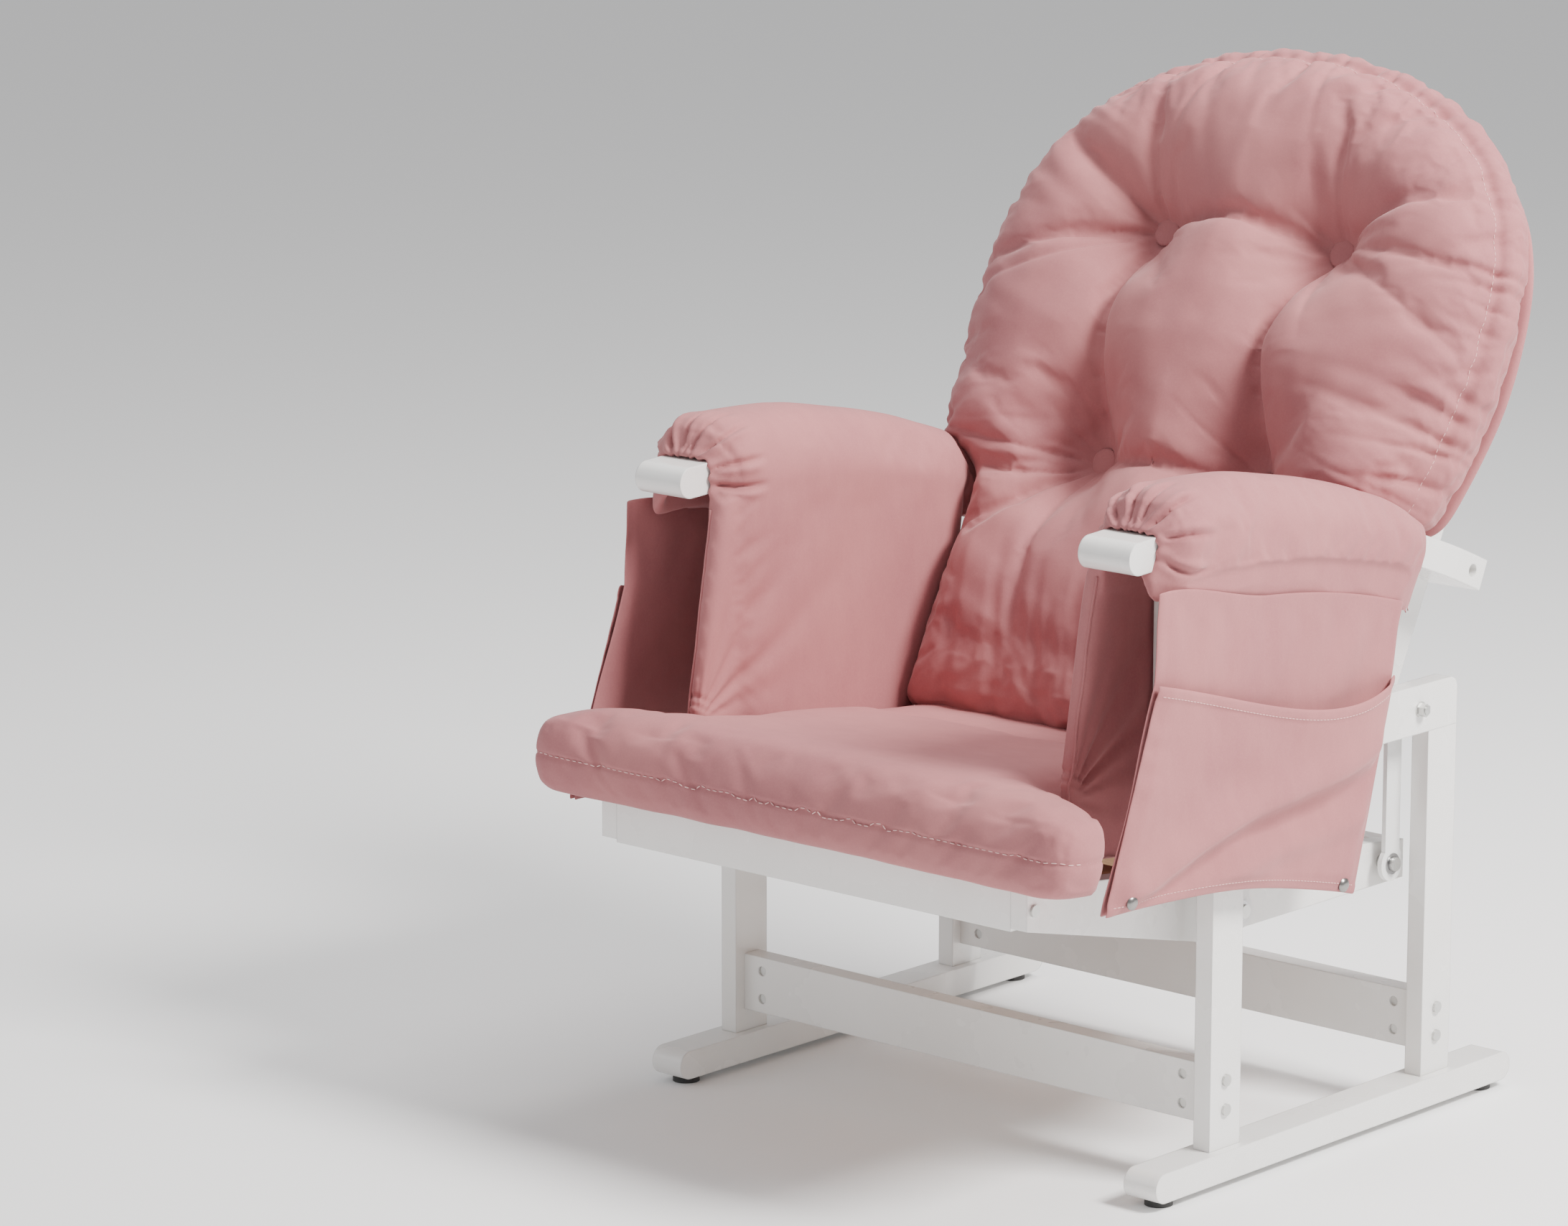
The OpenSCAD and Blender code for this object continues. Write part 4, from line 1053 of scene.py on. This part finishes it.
# pleats round the board at the front, gathers at the pad's foot and slack folds down the pad
def creaseArm(obj):
    rng = random.Random(31)
    points, normals = getPoints(obj), getNormals(obj)
    h, v, y = offArch(points)
    front = y - (armNoseY + armPad["start"])
    turn = np.arctan2(v - 0.004, h - 0.002)
    roll = smoothStep(-0.030, -0.010, v)
    reach = smoothStep(-0.004, 0.004, front) * (1 - smoothStep(0.022, 0.058, front)) * roll
    move = np.zeros(len(h))
    for at in (-0.30, 0.28, 0.86, 1.36, 1.86, 2.36, 2.92, 3.42):
        at += rng.uniform(-0.05, 0.05)
        lean = rng.uniform(-3.5, 3.5)
        gap = (turn - at - lean * front + math.pi) % (2 * math.pi) - math.pi
        ridge = np.exp(-(gap / 0.055) ** 2) - 0.55 * np.exp(-((gap - 0.12) / 0.09) ** 2)
        move -= 0.0075 * ridge * reach * rng.uniform(0.7, 1.15)
    move += 0.0016 * np.cos(turn * 17 + 1.3) * np.exp(-((front + 0.002) / 0.007) ** 2) * roll
    z, yy = points[:, 2], points[:, 1] - lineY
    pad = (1 - smoothStep(-0.050, -0.016, v))
    footY, footZ = -0.318, 0.405
    gapY, gapZ = yy - footY, z - footZ
    far = np.hypot(gapY, gapZ)
    way = np.arctan2(gapZ, gapY)
    for at, deep, wide, long in ((0.55, 0.0072, 0.10, 0.14), (0.90, 0.0060, 0.09, 0.17), (1.18, 0.0042, 0.07, 0.12),
                                 (0.22, 0.0034, 0.12, 0.09), (-0.25, 0.0030, 0.16, 0.07), (1.42, 0.0026, 0.06, 0.16)):
        move -= deep * np.exp(-((way - at) / wide) ** 2) * np.exp(-far / long) * smoothStep(0.006, 0.04, far) * pad
    for k in range(13):
        place = 0.330 + k * 0.0085 + rng.uniform(-0.002, 0.002)
        deep = rng.uniform(0.0012, 0.0028)
        ridge = np.exp(-((z - place + (yy - footY) * 0.5) / 0.0030) ** 2)
        move -= deep * ridge * np.exp(-np.abs(yy - footY) / 0.020) * pad
    slack = softNoise(np.stack([points[:, 0] * 0, yy * 16.0 - z * 7.0, z * 4.2], -1), 1.0, 6)
    move += 0.0030 * slack * pad
    move += 0.0014 * softNoise(points, 17.0, 8) * (1 - pad)
    points = points + normals * move[:, None]
    tuck = 0.3428 + 0.014 * smoothStep(-0.030, -0.006, v)
    points[:, 0] = np.where((h > 0) & (v < -0.006), np.minimum(points[:, 0], tuck), points[:, 0])
    setPoints(obj, points)


def makePiping(cover, side):
    path = []
    for t in np.linspace(0, 1, 60):
        z = 0.617 - 0.262 * t
        y = np.interp(z, [0.342, 0.417, 0.531, 0.640], [-0.3225, -0.3205, -0.2985, -0.2790]) + lineY
        x = padSheet["x"] + 0.0090 + 0.0008 * math.sin(t * 21)
        path.append((x * side, y - 0.0006, z))
    spots, ups = layOn(cover, path)
    line = np.array(spots) + np.array(ups) * 0.0003
    for _ in range(3):
        line[1:-1] = (line[:-2] + 2 * line[1:-1] + line[2:]) / 4
    name = "armPipingRight" if side > 0 else "armPipingLeft"
    return dress(tube(name, line, 0.0014), suedeLook, "rose_suede")


print("arm covers")
armRight = makeArmPad()
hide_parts("arm_cover_right", "arm_inner_pad_right")
armLeft = dress(mirrored(armRight, "armCoverLeft"), suedeLook, "rose_suede", "arm_cover_left", "arm_inner_pad_left")
makePiping(armRight, 1)
makePiping(armLeft, -1)


# outer panels and pockets

panel = {
    "x": 0.3440, "cloth": 0.0018, "across": 84, "down": 80, "hem": 0.010,
    "mouthFront": (-0.308, 0.530), "mouthRear": (0.069, 0.479), "sag": 0.019,
}


def panelEdges(z):
    front = np.interp(z, [0.317, 0.333, 0.530, 0.612], [-0.385, -0.381, -0.308, -0.303])
    rear = np.interp(z, [0.262, 0.479, 0.549], [0.006, 0.069, 0.087])
    return front + lineY, rear + lineY


def panelFoot(u):
    return 0.319 - 0.053 * u + 0.056 * u * (1 - u) - 0.004 * np.sin(u * 9.0) * u * (1 - u)


def panelSpot(u, v):
    low = panelFoot(u)
    z = low
    for _ in range(4):
        f, r = panelEdges(z)
        y = f + (r - f) * u
        top = archHeight(y, archSetup["radius"] - armPad["drop"] + 0.016 - hemDrop(u))
        z = low + (top - low) * v
    return y, z


def drape(u, v):
    fromTop = 1 - v
    folds = 0.0024 * np.sin(u * 43 + 1.5 * np.sin(v * 5 + 1)) * np.exp(-fromTop * 9) * smoothStep(0.03, 0.12, fromTop)
    folds += 0.0044 * softNoise(np.stack([u * 7.5 - v * 2.2, v * 1.5, u * 0], -1), 1.0, 4) * smoothStep(0, 0.2, fromTop)
    return folds


# line of the diagonal pull, from the front snap up to the pocket's rear corner
def diagonal(u, v):
    return (v - 0.02) - (u - 0.05) * 0.74 - 0.10 * np.sin(np.clip(u, 0, 1) * math.pi)


def makeSheet(name, points, count, thick):
    faces = []
    rows, cols = count
    for j in range(rows - 1):
        for i in range(cols - 1):
            a = j * cols + i
            faces.append((a, a + 1, a + cols + 1, a + cols))
    obj = makeObject(name, points, faces)
    modify(obj, "SOLIDIFY", thickness=thick, offset=0.0, use_even_offset=False)
    faceOutward(obj)
    modify(obj, "SUBSURF", levels=1, render_levels=1)
    return obj


def hemWave(distance, width):
    return 0.0009 * smoothStep(0, 0.002, distance) * (1 - smoothStep(width - 0.001, width + 0.0008, distance))


def sideWord(side):
    return "Right" if side > 0 else "Left"


# places over a cloth, u from front to rear and v from foot to head
def clothGrid():
    u, v = np.meshgrid(np.linspace(0, 1, panel["across"]), np.linspace(0, 1, panel["down"]))
    return u.ravel(), v.ravel()


# turns the worked-out places into a hung cloth on one side of the chair
def hangCloth(name, node, side, x, y, z):
    points = np.stack([x * side, y, z], -1)
    obj = makeSheet(name + sideWord(side), points, (panel["down"], panel["across"]), panel["cloth"])
    return dress(obj, suedeLook, "rose_suede", node + sideWord(side).lower())


def makePanel(side):
    u, v = clothGrid()
    y, z = panelSpot(u, v)
    x = panel["x"] + 0.0010 * smoothStep(0.05, 0.25, 1 - v) + drape(u, v)
    width = 0.40
    x += hemWave(u * width, panel["hem"]) + hemWave((1 - u) * width, panel["hem"])
    x = np.minimum(x, 0.3500)
    return hangCloth("outerPanel", "outer_panel_", side, x, y, z)


def mouthHeight(u):
    a, b = panel["mouthFront"], panel["mouthRear"]
    straight = a[1] + (b[1] - a[1]) * u
    late = np.sin(np.clip(u, 0, 1) ** 2.0 * math.pi * 0.999) ** 0.9      # deepest towards the rear
    return straight - panel["sag"] * late - 0.010 * np.sin(u * math.pi)


# x of the pocket's cloth; it leaves the panel at its mouth and is sewn down on three sides
def pocketSurface(u, w):
    cloth = panel["x"] + 0.0048
    sewn = smoothStep(0.0, 0.05, u) * smoothStep(0.0, 0.05, 1 - u) * smoothStep(0.0, 0.10, w)
    gape = 0.0150 * smoothStep(0.35, 1.0, w) * np.sin(np.clip(u, 0, 1) ** 2.6 * math.pi)
    pull = diagonal(u, w)
    fold = 0.0135 * np.exp(-(pull / np.where(pull > 0, 0.15, 0.07)) ** 2) * np.sin(np.clip(u, 0, 1) * math.pi) ** 0.4
    hollow = -0.0062 * np.exp(-((pull + 0.15) / 0.08) ** 2) + 0.0045 * np.exp(-((pull + 0.34) / 0.07) ** 2)
    rest = 0.0034 * softNoise(np.stack([u * 5.0 + w * 3.0, w * 3.2 - u * 2.0, u * 0], -1), 1.0, 12)
    ripple = 0.0012 * np.sin(w * 40 + np.sin(w * 9) * 2) * np.exp(-u / 0.05)
    return cloth + (0.0046 + gape + fold + hollow + rest) * sewn + ripple * smoothStep(0, 0.02, u)


def makePocket(side):
    u, w = clothGrid()
    low, high = panelFoot(u), mouthHeight(u)
    z = low + (high - low) * w
    f, r = panelEdges(z)
    y = f + (r - f) * u
    x = pocketSurface(u, w)
    x += 1.6 * hemWave((1 - w) * (high - low), 0.011) + hemWave(w * (high - low), 0.010)
    x += hemWave(u * 0.4, panel["hem"]) * 0.8
    return hangCloth("pocket", "pocket_", side, x, y, z)


# area inside the outline that a cloth is cut to, lying flat, without its folds
def cutArea(foot, head):
    y = np.concatenate([foot[0], head[0][::-1]])
    z = np.concatenate([foot[1], head[1][::-1]])
    return float(abs(np.dot(y, np.roll(z, -1)) - np.dot(z, np.roll(y, -1))) / 2)


def cutEdge(u, z):
    front, rear = panelEdges(z)
    return front + (rear - front) * u, z


def seamThread(name, obj, points, thread):
    spots, ups = layOn(obj, points)
    return dress(stitchRow(name, spots, ups, thread), threadLook, "rose_suede")


clearOfChair = 0.40      # x from which rays are cast on to the pockets
finePitch = {"length": 0.0036, "gap": 0.0014, "radius": 0.00042, "lift": 0.0002}


def pocketStitches(obj, side):
    word = sideWord(side)
    rows = []
    u = np.linspace(0.015, 0.985, 90)
    z = mouthHeight(u) - 0.0095
    f, r = panelEdges(z)
    rows.append(("mouthStitches" + word, f + (r - f) * u, z))
    z = panelFoot(u) + 0.0085
    f, r = panelEdges(z)
    rows.append(("hemStitches" + word, f + (r - f) * u, z))
    made = []
    for name, y, z in rows:
        out = [(side * clearOfChair, a, b) for a, b in zip(y, z)]
        tree = treeOf(obj)
        spots, ups = [], []
        for p in out:
            spot, up, index, gap = tree.ray_cast(Vector(p), Vector((-side, 0, 0)))
            if spot:
                spots.append(np.array(spot))
                ups.append(np.array((side, 0.0, 0.0)))
        made.append(dress(stitchRow(name, spots, ups, finePitch), threadLook, "rose_suede"))
    return made


# domed snap caps at the two lower corners of each pocket
snapSet = {"radius": 0.0074, "rim": 0.0016, "dome": 0.0042}


def snapCap(name, tree, side, y, z):
    spot, up, index, gap = tree.ray_cast(Vector((side * clearOfChair, y, z)), Vector((-side, 0, 0)))
    turns = np.linspace(0, 2 * math.pi, 40, endpoint=False)
    rings = []
    for share, rise in ((0.96, -0.0008), (1.0, 0.0), (1.0, snapSet["rim"]), (0.90, snapSet["rim"] * 1.2),
                        (0.86, snapSet["dome"] * 0.55), (0.66, snapSet["dome"] * 0.86), (0.34, snapSet["dome"])):
        x = np.full(40, spot[0] + side * rise)
        r = snapSet["radius"] * share
        rings.append(np.stack([x, y + r * np.cos(turns), z + r * np.sin(turns)], -1).tolist())
    return loftRings(name, rings)


def makeSnaps(pockets):
    low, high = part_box("cover_snaps")
    r = snapSet["radius"]
    caps = []
    for side, pocket in pockets:
        tree = treeOf(pocket)
        for y, z in ((low[1] + r, high[2] - r), (high[1] - r, low[2] + r)):
            caps.append(snapCap("cap%d" % len(caps), tree, side, y, z))
    return dress(joinInto("coverSnaps", caps), hardLooks["snap_metal"], "snap_metal", "cover_snaps")


print("outer panels and pockets")
pockets = []
for side, word in ((1, "right"), (-1, "left")):
    sheet = makePanel(side)
    pocket = makePocket(side)
    pockets.append((side, pocket))
    across = np.linspace(0, 1, 60)
    foot = cutEdge(across, panelFoot(across))
    panelCut = cutArea(foot, panelSpot(across, np.ones(60)))
    pocketCut = cutArea(foot, cutEdge(across, mouthHeight(across)))
    print("flat cuts", word, round(panelCut, 4), round(pocketCut, 4))
    pocketStitches(pocket, side)
makeSnaps(pockets)


# back board

boardSet = {"footS": 0.024, "front": -0.0685, "rear": -0.0795}


def makeBoard():
    ox, os_ = backOutline(220)
    cadLo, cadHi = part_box("back_board")
    sc = backPad["middleS"]
    half = (cadHi[0] - cadLo[0]) / 2
    x = ox * half / backPad["halfWidth"]
    topS = (cadHi[2] - places["footZ"] - boardSet["front"] * sinR) / cosR
    s = boardSet["footS"] + os_ * (topS - boardSet["footS"]) / backPad["length"]
    rings = []
    thick = boardSet["front"] - boardSet["rear"]
    for share, depth in ((0.3, 0.0), (0.9, 0.0), (0.975, 0.0), (0.992, 0.18), (1.0, 0.5), (0.992, 0.82), (0.975, 1.0),
                         (0.9, 1.0), (0.3, 1.0)):
        n = boardSet["front"] - thick * depth
        rings.append(fromBack(x * share, sc + (s - sc) * share, np.full(len(x), n)).tolist())
    obj = loftRings("backBoardCover", rings)
    modify(obj, "SUBSURF", levels=1, render_levels=1)
    points, normals = getPoints(obj), getNormals(obj)
    setPoints(obj, points + normals * (0.0006 * softNoise(points, 22.0, 7))[:, None])
    return dress(obj, suedeLook, "rose_suede", "back_board")


print("back board")
makeBoard()


# seam threads on the cushions

def backSeam():
    ox, os_ = backOutline(420)
    share = backPad["seamShare"]
    sc = backPad["middleS"]
    s = sc + (os_ - sc) * share
    n = np.full(len(ox), 0.008)
    return fromBack(ox * share, footShear(s, n), n)[s > 0.20]


print("seams")
loose = {"length": 0.0042, "gap": 0.0022, "radius": 0.00040, "lift": 0.0001}
seamThread("backSeamStitches", backCushion, backSeam(), loose)
seatPitch = {"length": 0.0052, "gap": 0.0030, "radius": 0.00062, "lift": 0.0004}
sx, sy = seatOutline(420)
keep = sy < 0.12
order = np.argsort(np.arctan2(sx[keep], 0.3 - sy[keep]))
ring = fromSeat(sx[keep][order], sy[keep][order], np.full(keep.sum(), seatPad["thick"] / 2))
seamThread("seatSeamStitches", seatCushion, ring, seatPitch)
